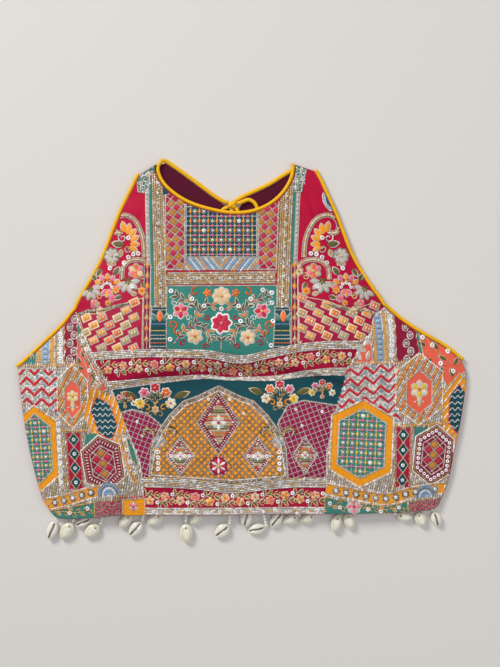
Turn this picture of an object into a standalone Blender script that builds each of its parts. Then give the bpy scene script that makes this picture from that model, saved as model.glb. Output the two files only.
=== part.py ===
"""Halterneck blouse, laid flat on its back with the front showing.

Seen from above, +X runs to the right, +Y up towards the neck and +Z towards the viewer. The origin is
under the middle of the blouse, on the surface that it lies on. Left and right are as seen from above.
Lengths in this file are in millimetres, and become metres when an object is made.

The front is a centre panel and two side panels, joined at princess seams. The back is two flat halves
that meet at the centre back and rise to a V at the neck. A rolled piping edges the neck and both
armholes. Behind the neck it goes on as a rouleau along the V, and is tied there in a small bow that
lies on the back, inside. Cowrie shells hang on short strands of beads from the front hem.
"""

import math

import bmesh
import bpy
from mathutils import Matrix, Vector

MM = 0.001

# Driving dimensions
CLOTH = 2.0  # the embroidered cloth with its lining
GAP = 0.3  # between pieces that are sewn together or touch
PIPING_RADIUS = 1.8
TIE_RADIUS = 2.0
TIE_POINT_SPACING = 4.6
BEAD_RADIUS = 1.3
THREAD_RADIUS = 0.5
THREAD_LEAD = 1.2  # bare thread between a shell and its first bead
BEAD_PITCH = 2.9
ROOT_INSIDE = 1.6  # a strand is sewn this far inside the hem
KNOT_REACH = 4.8  # from the knot's middle to its side
KNOT_HEIGHT = 7.2
SHELL_HEIGHT = 6.8
SLIT_DEPTH = 1.5
SEAM_GROOVE = 1.2
SEAM_GROOVE_WIDTH = 5.0
BACK_HEM_SHORTER = 11.0  # the back hem lies this far above the front hem
PIPING_INSET = PIPING_RADIUS + GAP  # from the piping's middle to the cloth's edge
SEAM_HALF_GAP = 0.2
BEND_WEIGHT = 14.0  # an edge's points crowd together in its bends, as if a radian were this much length
# How many squares of cloth run along each edge
SEAM_ROWS = 19
ARMHOLE_ROWS = 11
STRAP_COLUMNS = 2
NECK_COLUMNS = 20
SIDE_COLUMNS = 9
SIDE_ROWS = 16
BACK_STRETCHES = {"neck": 5, "armhole": 14, "side": 6, "hem": 6}

# Outlines seen from above, each a smooth curve through its points. They are measured from a point that
# is this far from the middle of the blouse, which the origin lies under.
OFF_MIDDLE = (0.95, -0.14)
ARMHOLE_LEFT = [(-223.0, -13.5), (-201.9, 6.5), (-178.0, 29.8), (-157.3, 63.0), (-139.8, 96.0),
                (-123.8, 138.0), (-105.4, 176.5)]
ARMHOLE_RIGHT = [(219.5, -6.0), (205.8, 5.0), (172.3, 24.2), (146.8, 44.9), (127.6, 69.5),
                 (110.1, 99.5), (95.7, 137.0), (77.2, 178.0)]
NECKLINE = [(-79.6, 192.8), (-83.6, 189.0), (-84.7, 181.5), (-76.5, 166.3), (-56.0, 151.0),
            (-30.0, 142.0), (-5.0, 138.6), (16.5, 142.2), (33.3, 151.6), (45.5, 165.6),
            (51.4, 180.0), (50.9, 188.6)]
SIDE_LEFT = [(-192.5, -161.5), (-200.7, -147.5), (-210.3, -113.8), (-218.3, -74.2),
             (-222.7, -41.9), (-225.2, -17.0)]
SIDE_RIGHT = [(197.6, -155.5), (206.8, -134.3), (212.7, -106.4), (220.8, -66.8), (225.6, -27.2),
              (221.5, -10.0)]
SEAM_LEFT = [(-95.8, -164.0), (-97.5, -150.0), (-101.0, -125.0), (-110.5, -98.3), (-118.3, -69.1),
             (-128.5, -40.5), (-143.8, -15.0), (-155.1, 10.5), (-165.0, 42.0)]
SEAM_RIGHT = [(83.4, -163.0), (83.2, -126.7), (85.2, -98.7), (90.0, -63.7), (100.2, -32.7),
              (110.2, -14.7), (120.2, 8.3), (130.5, 28.5), (140.0, 45.5)]
HEM = [(-192.5, -161.5), (-183.1, -168.0), (-154.7, -167.4), (-125.1, -164.4), (-95.8, -164.0),
       (-24.8, -164.0), (20.2, -162.6), (83.4, -163.0), (150.2, -161.5), (188.0, -159.6),
       (197.6, -155.5)]
STRAP_TOP_LEFT = [(-102.4, 177.6), (-86.4, 188.0)]
STRAP_TOP_RIGHT = [(54.0, 187.6), (72.6, 181.4)]
BACK_POINT = (-9.3, 141.5)  # where the two halves meet at the neck
BACK_TURN = (-2.4, 144.0)  # where the right half's edge turns, clear of the knot
CENTRE_BACK_HEM = 2.0

# How high the inside of the front stands off the surface: rows of y, the silhouette's left and right x,
# the height at its edges, the height that its middle adds, and how square-shouldered the section is
BODY = [
    # y, left, right, edge, middle, squareness
    (-170.0, -192.0, 197.0, 2.3, 6.6, 8.0),
    (-150.0, -199.0, 201.0, 2.3, 7.6, 7.0),
    (-110.0, -211.0, 213.0, 2.3, 9.8, 5.0),
    (-60.0, -220.0, 222.0, 2.3, 11.5, 4.0),
    (-12.0, -226.0, 223.0, 2.3, 13.0, 4.0),
    (10.0, -200.0, 200.0, 2.6, 13.5, 4.0),
    (45.0, -168.0, 147.0, 2.8, 12.0, 4.0),
    (100.0, -138.0, 110.0, 2.8, 8.0, 4.0),
    (140.0, -123.0, 95.0, 2.5, 5.4, 6.0),
    (160.0, -112.0, 86.0, 2.3, 2.8, 4.0),
    (180.0, -103.0, 77.0, 2.3, 0.0, 4.0),
    (196.0, -95.0, 70.0, 2.3, 0.0, 4.0),
]
# Soft mounds: the two cups, then the slack over and under them
MOUNDS = [
    # x, y, half width, half length, height
    (-86.0, 12.0, 56.0, 50.0, 11.0),
    (79.0, 17.0, 56.0, 50.0, 11.0),
    (-4.0, 8.0, 46.0, 22.0, 4.0),
    (-55.0, -112.0, 42.0, 30.0, 2.0),
    (38.0, -108.0, 36.0, 32.0, 2.6),
    (150.0, -112.0, 40.0, 26.0, 2.4),
    (-158.0, -92.0, 36.0, 42.0, 2.4),
    (163.0, -30.0, 30.0, 26.0, 3.0),
    (-172.0, -18.0, 26.0, 24.0, 2.6),
]
# Creases and ridges: the middle, the direction they run in, and a height that is negative for a trough
FOLDS = [
    # x, y, direction in degrees, half length, half width, height
    (-14.0, -140.0, 4.0, 52.0, 9.0, -2.6),
    (28.0, -128.0, 16.0, 46.0, 10.0, 2.2),
    (-122.0, -132.0, 62.0, 26.0, 8.0, 3.2),
    (-143.0, -60.0, 66.0, 44.0, 8.0, -2.2),
    (152.0, -146.0, 4.0, 38.0, 9.0, -2.2),
    (116.0, -70.0, 80.0, 48.0, 8.0, -1.8),
    (-62.0, 74.0, 70.0, 44.0, 12.0, -1.8),
    (52.0, 84.0, 112.0, 40.0, 12.0, -1.6),
    (-196.0, -62.0, 84.0, 40.0, 9.0, 1.6),
    (196.0, -84.0, 98.0, 40.0, 9.0, 1.6),
]
# The fold under the bust, where the slack of the centre front drops to the midriff
BUST_LINE = -14.0
BUST_LINE_SAG = 0.0015
BUST_LINE_MIDDLE = -7.0
BUST_DROP = 8.0
BUST_DROP_SIDES = 1.5
BUST_DROP_SPREAD = 88.0
BUST_DROP_REACH = 52.0
BUST_DROP_HALF = 4.5

# The rouleau behind the neck and its bow: where each strand runs
KNOT = (-9.3, 147.7)
KNOT_STRAND = 5.1  # from the knot's middle to a strand's end
BACK_NECK_LEFT = [(-75.7, 190.9), (-68.0, 186.0), (-60.6, 180.8), (-45.3, 169.6), (-30.0, 158.2),
                  (-20.5, 152.0)]
BACK_NECK_RIGHT = [(46.8, 180.3), (40.0, 176.2), (27.6, 168.4), (12.6, 161.2), (2.3, 156.6)]
BOW_LOOP = [(1.4, 150.6), (6.6, 152.4), (12.0, 150.0), (15.4, 144.4), (16.4, 137.4), (12.6, 131.0),
            (5.6, 130.2), (-0.6, 134.8)]
TAIL_LEFT = [(-19.5, 141.8), (-26.0, 134.0), (-30.0, 123.0), (-29.0, 111.0), (-24.0, 100.0)]
TAIL_RIGHT = [(-10.6, 135.0), (-9.0, 124.0), (-11.0, 112.0), (-16.0, 102.0)]
STRAND_ANGLES = {"back_neck_left": 158.0, "back_neck_right": 52.0, "loop_out": 8.0,
                 "loop_back": 316.0, "tail_left": 208.0, "tail_right": 262.0}

# The shells, from left to right: the middle, the turn from upright, whether the slit is on top, and
# where on the hem the strand starts
SHELLS = [
    # x, y, length, width, turn in degrees, slit up, strand's x
    (-191.2, -180.8, 19.5, 10.8, -18.0, True, -185.5),
    (-176.4, -181.2, 19.5, 12.6, -34.5, False, -168.5),
    (-160.0, -172.2, 17.5, 8.8, -62.0, True, -150.0),
    (-151.0, -181.2, 18.2, 12.4, -52.0, False, -139.4),
    (-117.4, -170.8, 17.5, 10.8, -37.0, False, -111.3),
    (-107.2, -179.4, 18.5, 12.0, -39.0, True, -98.5),
    (-87.8, -169.4, 17.9, 12.4, -53.0, False, -79.5),
    (-55.8, -183.8, 19.9, 13.2, 3.0, False, -56.3),
    (-46.3, -168.2, 15.6, 10.8, -39.0, False, -41.0),
    (-20.1, -181.3, 17.7, 12.8, -48.5, True, -11.9),
    (4.3, -168.4, 17.5, 12.6, -7.0, True, 5.7),
    (14.8, -179.4, 17.6, 11.0, -73.0, True, 21.3),
    (34.6, -170.0, 18.0, 11.2, -33.0, True, 40.0),
    (49.2, -169.5, 15.5, 10.6, -64.0, False, 58.5),
    (66.0, -168.4, 15.5, 10.6, -67.0, False, 76.0),
    (95.0, -173.8, 19.2, 10.4, -14.0, False, 98.6),
    (108.4, -171.4, 17.6, 11.2, 14.0, False, 105.2),
    (164.2, -166.6, 16.2, 10.6, 78.0, False, 153.0),
    (180.2, -169.6, 15.8, 11.4, 24.0, False, 175.6),
    (195.8, -169.4, 15.0, 10.0, 22.0, True, 190.6),
]

# Colours and finishes: red, green, blue, roughness, metallic
FINISHES = {
    "embroidered_cloth": (0.52, 0.30, 0.22, 0.75, 0.0),
    "back_cloth": (0.42, 0.01, 0.05, 0.7, 0.0),
    "yellow_piping": (0.95, 0.62, 0.01, 0.6, 0.0),
    "cowrie": (0.80, 0.83, 0.70, 0.3, 0.0),
    "bead": (0.88, 0.93, 0.88, 0.25, 0.0),
}


def clear_scene():
    for obj in list(bpy.data.objects):
        bpy.data.objects.remove(obj)


def material(name):
    found = bpy.data.materials.get(name)
    if found:
        return found
    red, green, blue, roughness, metallic = FINISHES[name]
    made = bpy.data.materials.new(name)
    made.use_nodes = True
    shader = made.node_tree.nodes["Principled BSDF"]
    shader.inputs["Base Color"].default_value = (red, green, blue, 1.0)
    shader.inputs["Roughness"].default_value = roughness
    shader.inputs["Metallic"].default_value = metallic
    return made


def smooth_step(value):
    value = min(1.0, max(0.0, value))
    return value * value * (3.0 - 2.0 * value)


def smooth_curve(points, steps=16):
    """A Catmull-Rom curve through the points, as a fine list of vectors."""
    knots = [Vector(p) for p in points]
    knots = [2 * knots[0] - knots[1]] + knots + [2 * knots[-1] - knots[-2]]
    line = []
    for before, start, end, after in zip(knots, knots[1:], knots[2:], knots[3:]):
        for step in range(steps):
            t = step / steps
            line.append(0.5 * (2 * start + t * (end - before)
                               + t * t * (2 * before - 5 * start + 4 * end - after)
                               + t ** 3 * (3 * start - before - 3 * end + after)))
    return line + [knots[-2]]


def lengths_along(line):
    total = [0.0]
    for start, end in zip(line, line[1:]):
        total.append(total[-1] + (end - start).length)
    return total


def point_at(line, share):
    """The point at a share of the line's length."""
    total = lengths_along(line)
    wanted = share * total[-1]
    for i in range(1, len(line)):
        if total[i] >= wanted or i == len(line) - 1:
            span = max(total[i] - total[i - 1], 1e-9)
            return line[i - 1].lerp(line[i], min(1.0, max(0.0, (wanted - total[i - 1]) / span)))
    return line[-1]


def beside(line, distance):
    """The line moved sideways, to its left for a positive distance."""
    moved = []
    for i, point in enumerate(line):
        ahead = line[min(i + 1, len(line) - 1)] - line[max(i - 1, 0)]
        moved.append(point + Vector((-ahead.y, ahead.x)).normalized() * distance)
    return moved


def cut_between(line, start, end):
    """The stretch of a line between the points nearest to two places, in that order."""
    first = min(range(len(line)), key=lambda i: (line[i] - Vector(start)).length)
    last = min(range(len(line)), key=lambda i: (line[i] - Vector(end)).length)
    if first <= last:
        return line[first:last + 1]
    return line[last:first + 1][::-1]


def interpolate(rows, key, column):
    """A smooth value from a table whose first column rises."""
    if key <= rows[0][0]:
        return rows[0][column]
    for low, high in zip(rows, rows[1:]):
        if key <= high[0]:
            share = smooth_step((key - low[0]) / (high[0] - low[0]))
            return low[column] + share * (high[column] - low[column])
    return rows[-1][column]


def x_on(line, y):
    """The x of a line that climbs in y."""
    if y <= line[0].y:
        return line[0].x
    for start, end in zip(line, line[1:]):
        if start.y <= y <= end.y:
            return start.x + (end.x - start.x) * (y - start.y) / max(end.y - start.y, 1e-9)
    return line[-1].x


def y_on(line, x):
    """The y of a line that runs along x."""
    for start, end in zip(line, line[1:]):
        if start.x <= x <= end.x:
            return start.y + (end.y - start.y) * (x - start.x) / max(end.x - start.x, 1e-9)
    return line[-1].y


LINES = {name: smooth_curve(points) for name, points in {
    "armhole_left": ARMHOLE_LEFT, "armhole_right": ARMHOLE_RIGHT, "neckline": NECKLINE,
    "side_left": SIDE_LEFT, "side_right": SIDE_RIGHT, "seam_left": SEAM_LEFT,
    "seam_right": SEAM_RIGHT, "hem": HEM}.items()}


def bust_drop(x, y):
    """How far the midriff lies below the bust, just under the fold, fading towards the hem."""
    line = BUST_LINE - BUST_LINE_SAG * (x - BUST_LINE_MIDDLE) ** 2
    depth = BUST_DROP_SIDES + BUST_DROP * math.exp(-((x - BUST_LINE_MIDDLE) / BUST_DROP_SPREAD) ** 2)
    below = smooth_step(0.5 + (line - y) / (2 * BUST_DROP_HALF))
    return depth * below * math.exp(-(max(0.0, line - y) / BUST_DROP_REACH) ** 2)


def rise(x, y):
    """The height of the front's inside above the surface."""
    left, right = interpolate(BODY, y, 1), interpolate(BODY, y, 2)
    edge, middle = interpolate(BODY, y, 3), interpolate(BODY, y, 4)
    across = min(1.0, abs((x - (left + right) / 2) / ((right - left) / 2)))
    inner = 1.0 - across ** interpolate(BODY, y, 5)
    height = middle * inner
    for mound_x, mound_y, wide, long, high in MOUNDS:
        height += high * inner * math.exp(-((x - mound_x) / wide) ** 2 - ((y - mound_y) / long) ** 2)
    for fold_x, fold_y, degrees, long, wide, high in FOLDS:
        turn = math.radians(degrees)
        along = (x - fold_x) * math.cos(turn) + (y - fold_y) * math.sin(turn)
        off = (y - fold_y) * math.cos(turn) - (x - fold_x) * math.sin(turn)
        height += high * inner * math.exp(-(along / long) ** 2 - (off / wide) ** 2)
    height -= bust_drop(x, y) * inner
    for seam in ("seam_left", "seam_right"):
        away = x - x_on(LINES[seam], y)
        if y < LINES[seam][-1].y:
            height -= SEAM_GROOVE * inner * math.exp(-(away / SEAM_GROOVE_WIDTH) ** 2)
    return edge + max(0.0, height)


def spread(line, count):
    """So many stretches along a line, shorter where it bends."""
    weights = [0.0]
    for before, here, after in zip(line, line[1:], line[2:] + [2 * line[-1] - line[-2]]):
        turn = (here - before).angle(after - here)
        weights.append(weights[-1] + (here - before).length + BEND_WEIGHT * turn)
    points = [line[0]]
    for step in range(1, count):
        wanted = weights[-1] * step / count
        i = next(k for k, weight in enumerate(weights) if weight >= wanted)
        share = (wanted - weights[i - 1]) / (weights[i] - weights[i - 1])
        points.append(line[i - 1].lerp(line[i], share))
    return points + [line[-1]]


def panel_mesh(name, bottom, top, left, right):
    """A closed sheet of cloth stretched between four edges, lifted to its height, with upright rims."""
    columns, rows = len(bottom) - 1, len(left) - 1
    mesh = bpy.data.meshes.new(name)
    bm = bmesh.new()
    bmesh.ops.create_grid(bm, x_segments=columns, y_segments=rows, size=1.0)
    for vert in bm.verts:
        i = round((vert.co.x + 1) / 2 * columns)
        j = round((vert.co.y + 1) / 2 * rows)
        u, v = i / columns, j / rows
        corners = ((1 - u) * (1 - v) * bottom[0] + u * (1 - v) * bottom[-1]
                   + (1 - u) * v * top[0] + u * v * top[-1])
        flat = ((1 - v) * bottom[i] + v * top[i] + (1 - u) * left[j] + u * right[j] - corners)
        vert.co = (flat.x * MM, flat.y * MM, rise(flat.x, flat.y) * MM)
    raised = bmesh.ops.extrude_face_region(bm, geom=bm.faces[:], use_keep_orig=True)["geom"]
    outside = [part for part in raised if isinstance(part, bmesh.types.BMVert)]
    bmesh.ops.translate(bm, vec=(0.0, 0.0, CLOTH * MM), verts=outside)
    bmesh.ops.recalc_face_normals(bm, faces=bm.faces)
    bm.to_mesh(mesh)
    bm.free()
    return mesh


def add_object(name, data, finish):
    obj = bpy.data.objects.new(name, data)
    data.materials.append(material(finish))
    bpy.data.collections["halterneck_blouse"].objects.link(obj)
    if isinstance(data, bpy.types.Mesh):
        data.shade_smooth()
        data.set_sharp_from_angle(angle=math.radians(50))
    obj.parent = bpy.data.objects["blouse"]
    return obj


def add_tube(name, finish, line, radius, radii=None, resolution=2):
    """A round tube with closed ends along a line of points in space."""
    curve = bpy.data.curves.new(name, "CURVE")
    curve.dimensions = "3D"
    curve.bevel_depth = radius * MM
    curve.bevel_resolution = resolution
    curve.use_fill_caps = True
    spline = curve.splines.new("POLY")
    spline.points.add(len(line) - 1)
    for i, point in enumerate(line):
        spline.points[i].co = (*(Vector(point) * MM), 1.0)
        spline.points[i].radius = radii[i] if radii else 1.0
    return add_object(name, curve, finish)


def evenly(line, spacing):
    count = max(2, round(lengths_along(line)[-1] / spacing))
    return [point_at(line, i / count) for i in range(count + 1)]


def add_piping(name, line, floor):
    """Rolled piping level with the cloth that it binds, and above a floor."""
    placed = [(p.x, p.y, max(floor + PIPING_RADIUS, rise(p.x, p.y) + CLOTH / 2)) for p in line]
    add_tube(name, "yellow_piping", placed, PIPING_RADIUS)


def make_front():
    """The centre panel, the two side panels, and the piping that binds their neck and armholes."""
    hem, seams, sides = LINES["hem"], {}, {}
    for end in ("left", "right"):
        toward_centre = -SEAM_HALF_GAP if end == "left" else SEAM_HALF_GAP
        line = LINES["seam_" + end]
        seams[end] = (spread(beside(line, toward_centre), SEAM_ROWS),
                      spread(beside(line, -toward_centre), SIDE_ROWS))
        sides[end] = spread(LINES["side_" + end], SIDE_ROWS)
    armholes = {"left": beside(LINES["armhole_left"], -PIPING_INSET),
                "right": beside(LINES["armhole_right"], PIPING_INSET)}
    straps = {"left": [Vector(p) for p in STRAP_TOP_LEFT],
              "right": [Vector(p) for p in STRAP_TOP_RIGHT][::-1]}

    upper, under = {}, {}
    for end in ("left", "right"):
        arm = cut_between(armholes[end], seams[end][0][-1], straps[end][0])
        upper[end] = spread([seams[end][0][-1]] + arm[1:-1] + [straps[end][0]], ARMHOLE_ROWS)
        arm = cut_between(armholes[end], sides[end][-1], seams[end][1][-1])
        under[end] = spread([sides[end][-1]] + arm[1:-1] + [seams[end][1][-1]], SIDE_COLUMNS)
    neck = cut_between(beside(LINES["neckline"], -PIPING_INSET), straps["left"][1], straps["right"][1])
    neck = spread([straps["left"][1]] + neck[1:-1] + [straps["right"][1]], NECK_COLUMNS)
    top = (spread(straps["left"], STRAP_COLUMNS)[:-1] + neck
           + spread(straps["right"], STRAP_COLUMNS)[::-1][1:])
    left, right = (seams[end][0][:-1] + upper[end] for end in ("left", "right"))
    bottom = cut_between(hem, SEAM_LEFT[0], SEAM_RIGHT[0])
    bottom = spread([left[0]] + bottom[1:-1] + [right[0]], len(top) - 1)
    add_object("front_centre", panel_mesh("front_centre", bottom, top, left, right),
               "embroidered_cloth")

    bottom = cut_between(hem, HEM[0], SEAM_LEFT[0])
    bottom = spread([sides["left"][0]] + bottom[1:-1] + [seams["left"][1][0]], SIDE_COLUMNS)
    add_object("front_side_left", panel_mesh("front_side_left", bottom, under["left"],
                                             sides["left"], seams["left"][1]), "embroidered_cloth")
    bottom = cut_between(hem, SEAM_RIGHT[0], HEM[-1])
    bottom = spread([seams["right"][1][0]] + bottom[1:-1] + [sides["right"][0]], SIDE_COLUMNS)
    add_object("front_side_right", panel_mesh("front_side_right", bottom, under["right"][::-1],
                                              seams["right"][1], sides["right"]),
               "embroidered_cloth")

    turned_over = [Vector(NECKLINE[0])] + beside(neck, PIPING_INSET) + [Vector(NECKLINE[-1])]
    add_piping("piping_neck", turned_over, CLOTH + GAP)
    add_piping("piping_armhole_left",
               beside(under["left"][:-1] + upper["left"], PIPING_INSET), 0.0)
    add_piping("piping_armhole_right",
               beside(under["right"][:-1] + upper["right"], -PIPING_INSET), 0.0)


def make_back():
    """Two flat halves that lie on the surface, under the front, and meet at the centre back."""
    raised = [p + Vector((0.0, BACK_HEM_SHORTER)) for p in LINES["hem"]]
    hem_middle = Vector((CENTRE_BACK_HEM, y_on(raised, CENTRE_BACK_HEM)))
    point = Vector(BACK_POINT)
    for end, neck, strap, way in (("left", BACK_NECK_LEFT, STRAP_TOP_LEFT, -1),
                                  ("right", BACK_NECK_RIGHT, STRAP_TOP_RIGHT[::-1], 1)):
        outer, aside = strap[0], way * SEAM_HALF_GAP
        armhole = beside(LINES["armhole_" + end], way * PIPING_INSET)
        side = LINES["side_" + end]
        neck = beside(smooth_curve(neck), way * (TIE_RADIUS + GAP))
        outline = [hem_middle + Vector((aside, 0.0)), point + Vector((aside, 0.0))]
        outline += [Vector(BACK_TURN)] if end == "right" else []
        outline += spread(neck, BACK_STRETCHES["neck"])[::-1] + [Vector(strap[1])]
        outline += spread(cut_between(armhole, outer, armhole[0]), BACK_STRETCHES["armhole"])
        corner = raised[0] if end == "left" else raised[-1]
        outline += spread(cut_between(side, side[-1], corner), BACK_STRETCHES["side"])
        outline += spread(cut_between(raised, outline[-1], hem_middle), BACK_STRETCHES["hem"])[1:-1]
        curve = bpy.data.curves.new("back_" + end, "CURVE")
        curve.dimensions = "2D"
        curve.fill_mode = "BOTH"
        curve.extrude = CLOTH / 2 * MM
        spline = curve.splines.new("POLY")
        spline.points.add(len(outline) - 1)
        for place, corner in zip(spline.points, outline):
            place.co = (corner.x * MM, corner.y * MM, 0.0, 1.0)
        spline.use_cyclic_u = True
        half = add_object("back_" + end, curve, "back_cloth")
        half.location.z = CLOTH / 2 * MM


def knot_end(strand):
    turn = math.radians(STRAND_ANGLES[strand])
    return (KNOT[0] + KNOT_STRAND * math.cos(turn), KNOT[1] + KNOT_STRAND * math.sin(turn))


def make_back_neck():
    """The rouleau on the back's V, its knot, one bow loop and two tails that lie inside, on the back."""
    on_back = CLOTH + GAP + TIE_RADIUS
    routes = {
        "back_neck_left": (BACK_NECK_LEFT + [knot_end("back_neck_left")], TIE_RADIUS),
        "back_neck_right": (BACK_NECK_RIGHT + [knot_end("back_neck_right")], TIE_RADIUS),
        "bow_loop": ([knot_end("loop_out")] + BOW_LOOP + [knot_end("loop_back")], on_back),
        "bow_tail_left": ([knot_end("tail_left")] + TAIL_LEFT, on_back),
        "bow_tail_right": ([knot_end("tail_right")] + TAIL_RIGHT, on_back),
    }
    for name, (route, height) in routes.items():
        line = [(p.x, p.y, height) for p in evenly(smooth_curve(route), TIE_POINT_SPACING)]
        add_tube(name, "yellow_piping", line, TIE_RADIUS)
    mesh = bpy.data.meshes.new("bow_knot")
    bm = bmesh.new()
    bmesh.ops.create_uvsphere(bm, u_segments=12, v_segments=8, radius=1.0)
    bmesh.ops.scale(bm, vec=(KNOT_REACH * MM, KNOT_REACH * MM, KNOT_HEIGHT / 2 * MM), verts=bm.verts)
    bmesh.ops.translate(bm, vec=(KNOT[0] * MM, KNOT[1] * MM, KNOT_HEIGHT / 2 * MM), verts=bm.verts)
    bm.to_mesh(mesh)
    bm.free()
    add_object("bow_knot", mesh, "yellow_piping")


def shell_mesh(length, width, slit_up):
    """An egg-shaped cowrie lying on its side faces, narrower at its lower end, slit along the top."""
    mesh = bpy.data.meshes.new("cowrie")
    bm = bmesh.new()
    bmesh.ops.create_uvsphere(bm, u_segments=12, v_segments=7, radius=1.0)
    bmesh.ops.rotate(bm, matrix=Matrix.Rotation(math.radians(-90), 3, "X"), verts=bm.verts)
    for vert in bm.verts:
        along = vert.co.y
        wide = 1.0 + 0.16 * along
        on_slit = slit_up and abs(vert.co.x) < 0.01 and vert.co.z > 0.3
        vert.co.x *= wide * width / 2 * MM
        vert.co.y *= length / 2 * MM
        vert.co.z *= SHELL_HEIGHT / 2 * MM
        if on_slit:
            vert.co.z -= SLIT_DEPTH * MM
    bm.to_mesh(mesh)
    bm.free()
    return mesh


def make_shells():
    hem = LINES["hem"]
    lowest = SHELL_HEIGHT / 2
    for number, (x, y, length, width, degrees, slit_up, root_x) in enumerate(SHELLS, 1):
        turn = math.radians(degrees)
        shell = add_object(f"cowrie_{number:02d}", shell_mesh(length, width, slit_up), "cowrie")
        shell.location = (x * MM, y * MM, lowest * MM)
        shell.rotation_euler.z = turn

        way = Vector((-math.sin(turn), math.cos(turn), 0.0))
        tip = Vector((x, y, lowest)) + way * (length / 2 + GAP)
        lead = tip + way * THREAD_LEAD
        root_y = max(y_on(hem, root_x) + ROOT_INSIDE, lead.y + BEAD_PITCH)
        root = Vector((root_x, root_y, rise(root_x, root_y) - GAP - BEAD_RADIUS))
        lead.z = min(lead.z, root.z)
        beads = max(1, round((root - lead).length / BEAD_PITCH))
        line, radii = [tip], [THREAD_RADIUS]
        for bead in range(beads):
            for share, size in ((0.0, THREAD_RADIUS), (0.3, BEAD_RADIUS), (0.7, BEAD_RADIUS)):
                line.append(lead.lerp(root, (bead + share) / beads))
                radii.append(size)
        sewn = root + Vector((0.0, 0.0, BEAD_RADIUS))
        add_tube(f"beads_{number:02d}", "bead", line + [root, sewn], 1.0,
                 radii + [THREAD_RADIUS, THREAD_RADIUS], 1)


def main():
    clear_scene()
    collection = bpy.data.collections.new("halterneck_blouse")
    bpy.context.scene.collection.children.link(collection)
    root = bpy.data.objects.new("blouse", None)
    root.location = (OFF_MIDDLE[0] * MM, OFF_MIDDLE[1] * MM, 0.0)
    collection.objects.link(root)
    make_front()
    make_back()
    make_back_neck()
    make_shells()


main()
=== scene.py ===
# %% [markdown]
# # An embroidered halterneck blouse, laid flat
# The blouse is cut as a centre front, two side panels and two back halves. Yellow piping edges its neck
# and armholes, and a row of cowrie shells hangs from the hem. This notebook dresses the plain solids of
# the frame with fine cloth, stitches, sequins, shells and beads. Lengths are in millimetres until a mesh
# is made, because that is how a tailor measures.

# %% Load the frame
import math
from contextlib import contextmanager

import bmesh
import bpy
import numpy as np
from mathutils import Matrix, Vector


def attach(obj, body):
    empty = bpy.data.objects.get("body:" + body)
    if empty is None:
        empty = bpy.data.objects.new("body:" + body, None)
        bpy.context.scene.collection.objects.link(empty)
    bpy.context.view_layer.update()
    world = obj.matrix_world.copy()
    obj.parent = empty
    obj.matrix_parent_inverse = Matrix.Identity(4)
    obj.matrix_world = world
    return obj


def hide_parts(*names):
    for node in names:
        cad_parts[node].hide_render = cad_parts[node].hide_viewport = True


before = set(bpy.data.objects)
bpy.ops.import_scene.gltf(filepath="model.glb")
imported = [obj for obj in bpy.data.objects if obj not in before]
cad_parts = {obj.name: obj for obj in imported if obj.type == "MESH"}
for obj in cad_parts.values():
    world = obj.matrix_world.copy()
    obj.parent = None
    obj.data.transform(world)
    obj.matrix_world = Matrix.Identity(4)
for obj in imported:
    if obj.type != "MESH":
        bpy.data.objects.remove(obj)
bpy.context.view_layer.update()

MM = 0.001
OFF_MIDDLE = np.array((0.95, -0.14))
print("nodes in the frame:", len(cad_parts))

# %% [markdown]
# ## The camera
# The blouse lies on a flat surface and is seen from straight above. A camera that looks down needs no
# turning, because an unturned Blender camera already looks along -Z. The lens and the height follow from
# how much of the surface the picture covers: its longer side is fitted to the sensor's width.

# %% Camera
VIEW_MIDDLE = (9.2, 17.6)
VIEW_LONG_SIDE = 667.0
LENS = 50.0
SENSOR = 36.0
CLOTH_LEVEL = 10.0

camera = bpy.data.objects.new("camera", bpy.data.cameras.new("camera"))
camera.data.lens = LENS
camera.data.sensor_width = SENSOR
camera.data.clip_start = 0.01
camera.data.clip_end = 20.0
camera_height = VIEW_LONG_SIDE * LENS / SENSOR + CLOTH_LEVEL
camera.location = (VIEW_MIDDLE[0] * MM, VIEW_MIDDLE[1] * MM, camera_height * MM)
bpy.context.scene.collection.objects.link(camera)
bpy.context.scene.camera = camera
bpy.context.scene.view_settings.view_transform = "Standard"
print(f"camera {camera_height:.0f} mm above the surface")

# %% [markdown]
# ## Shader arithmetic
# Node trees are easier to read as sums. `Socket` wraps an output and turns Python's operators into Math
# nodes, and `Shader.node` makes any other node from its type, settings and inputs.

# %% Sockets and shaders
class Socket:
    """The output of a shader node, with arithmetic."""

    def __init__(self, shader, output):
        self.shader = shader
        self.output = output

    def math(self, operation, other):
        return self.shader.node("ShaderNodeMath", {"operation": operation}, {0: self, 1: other})

    def __add__(self, other):
        return self.math("ADD", other)

    def __mul__(self, other):
        return self.math("MULTIPLY", other)


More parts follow.
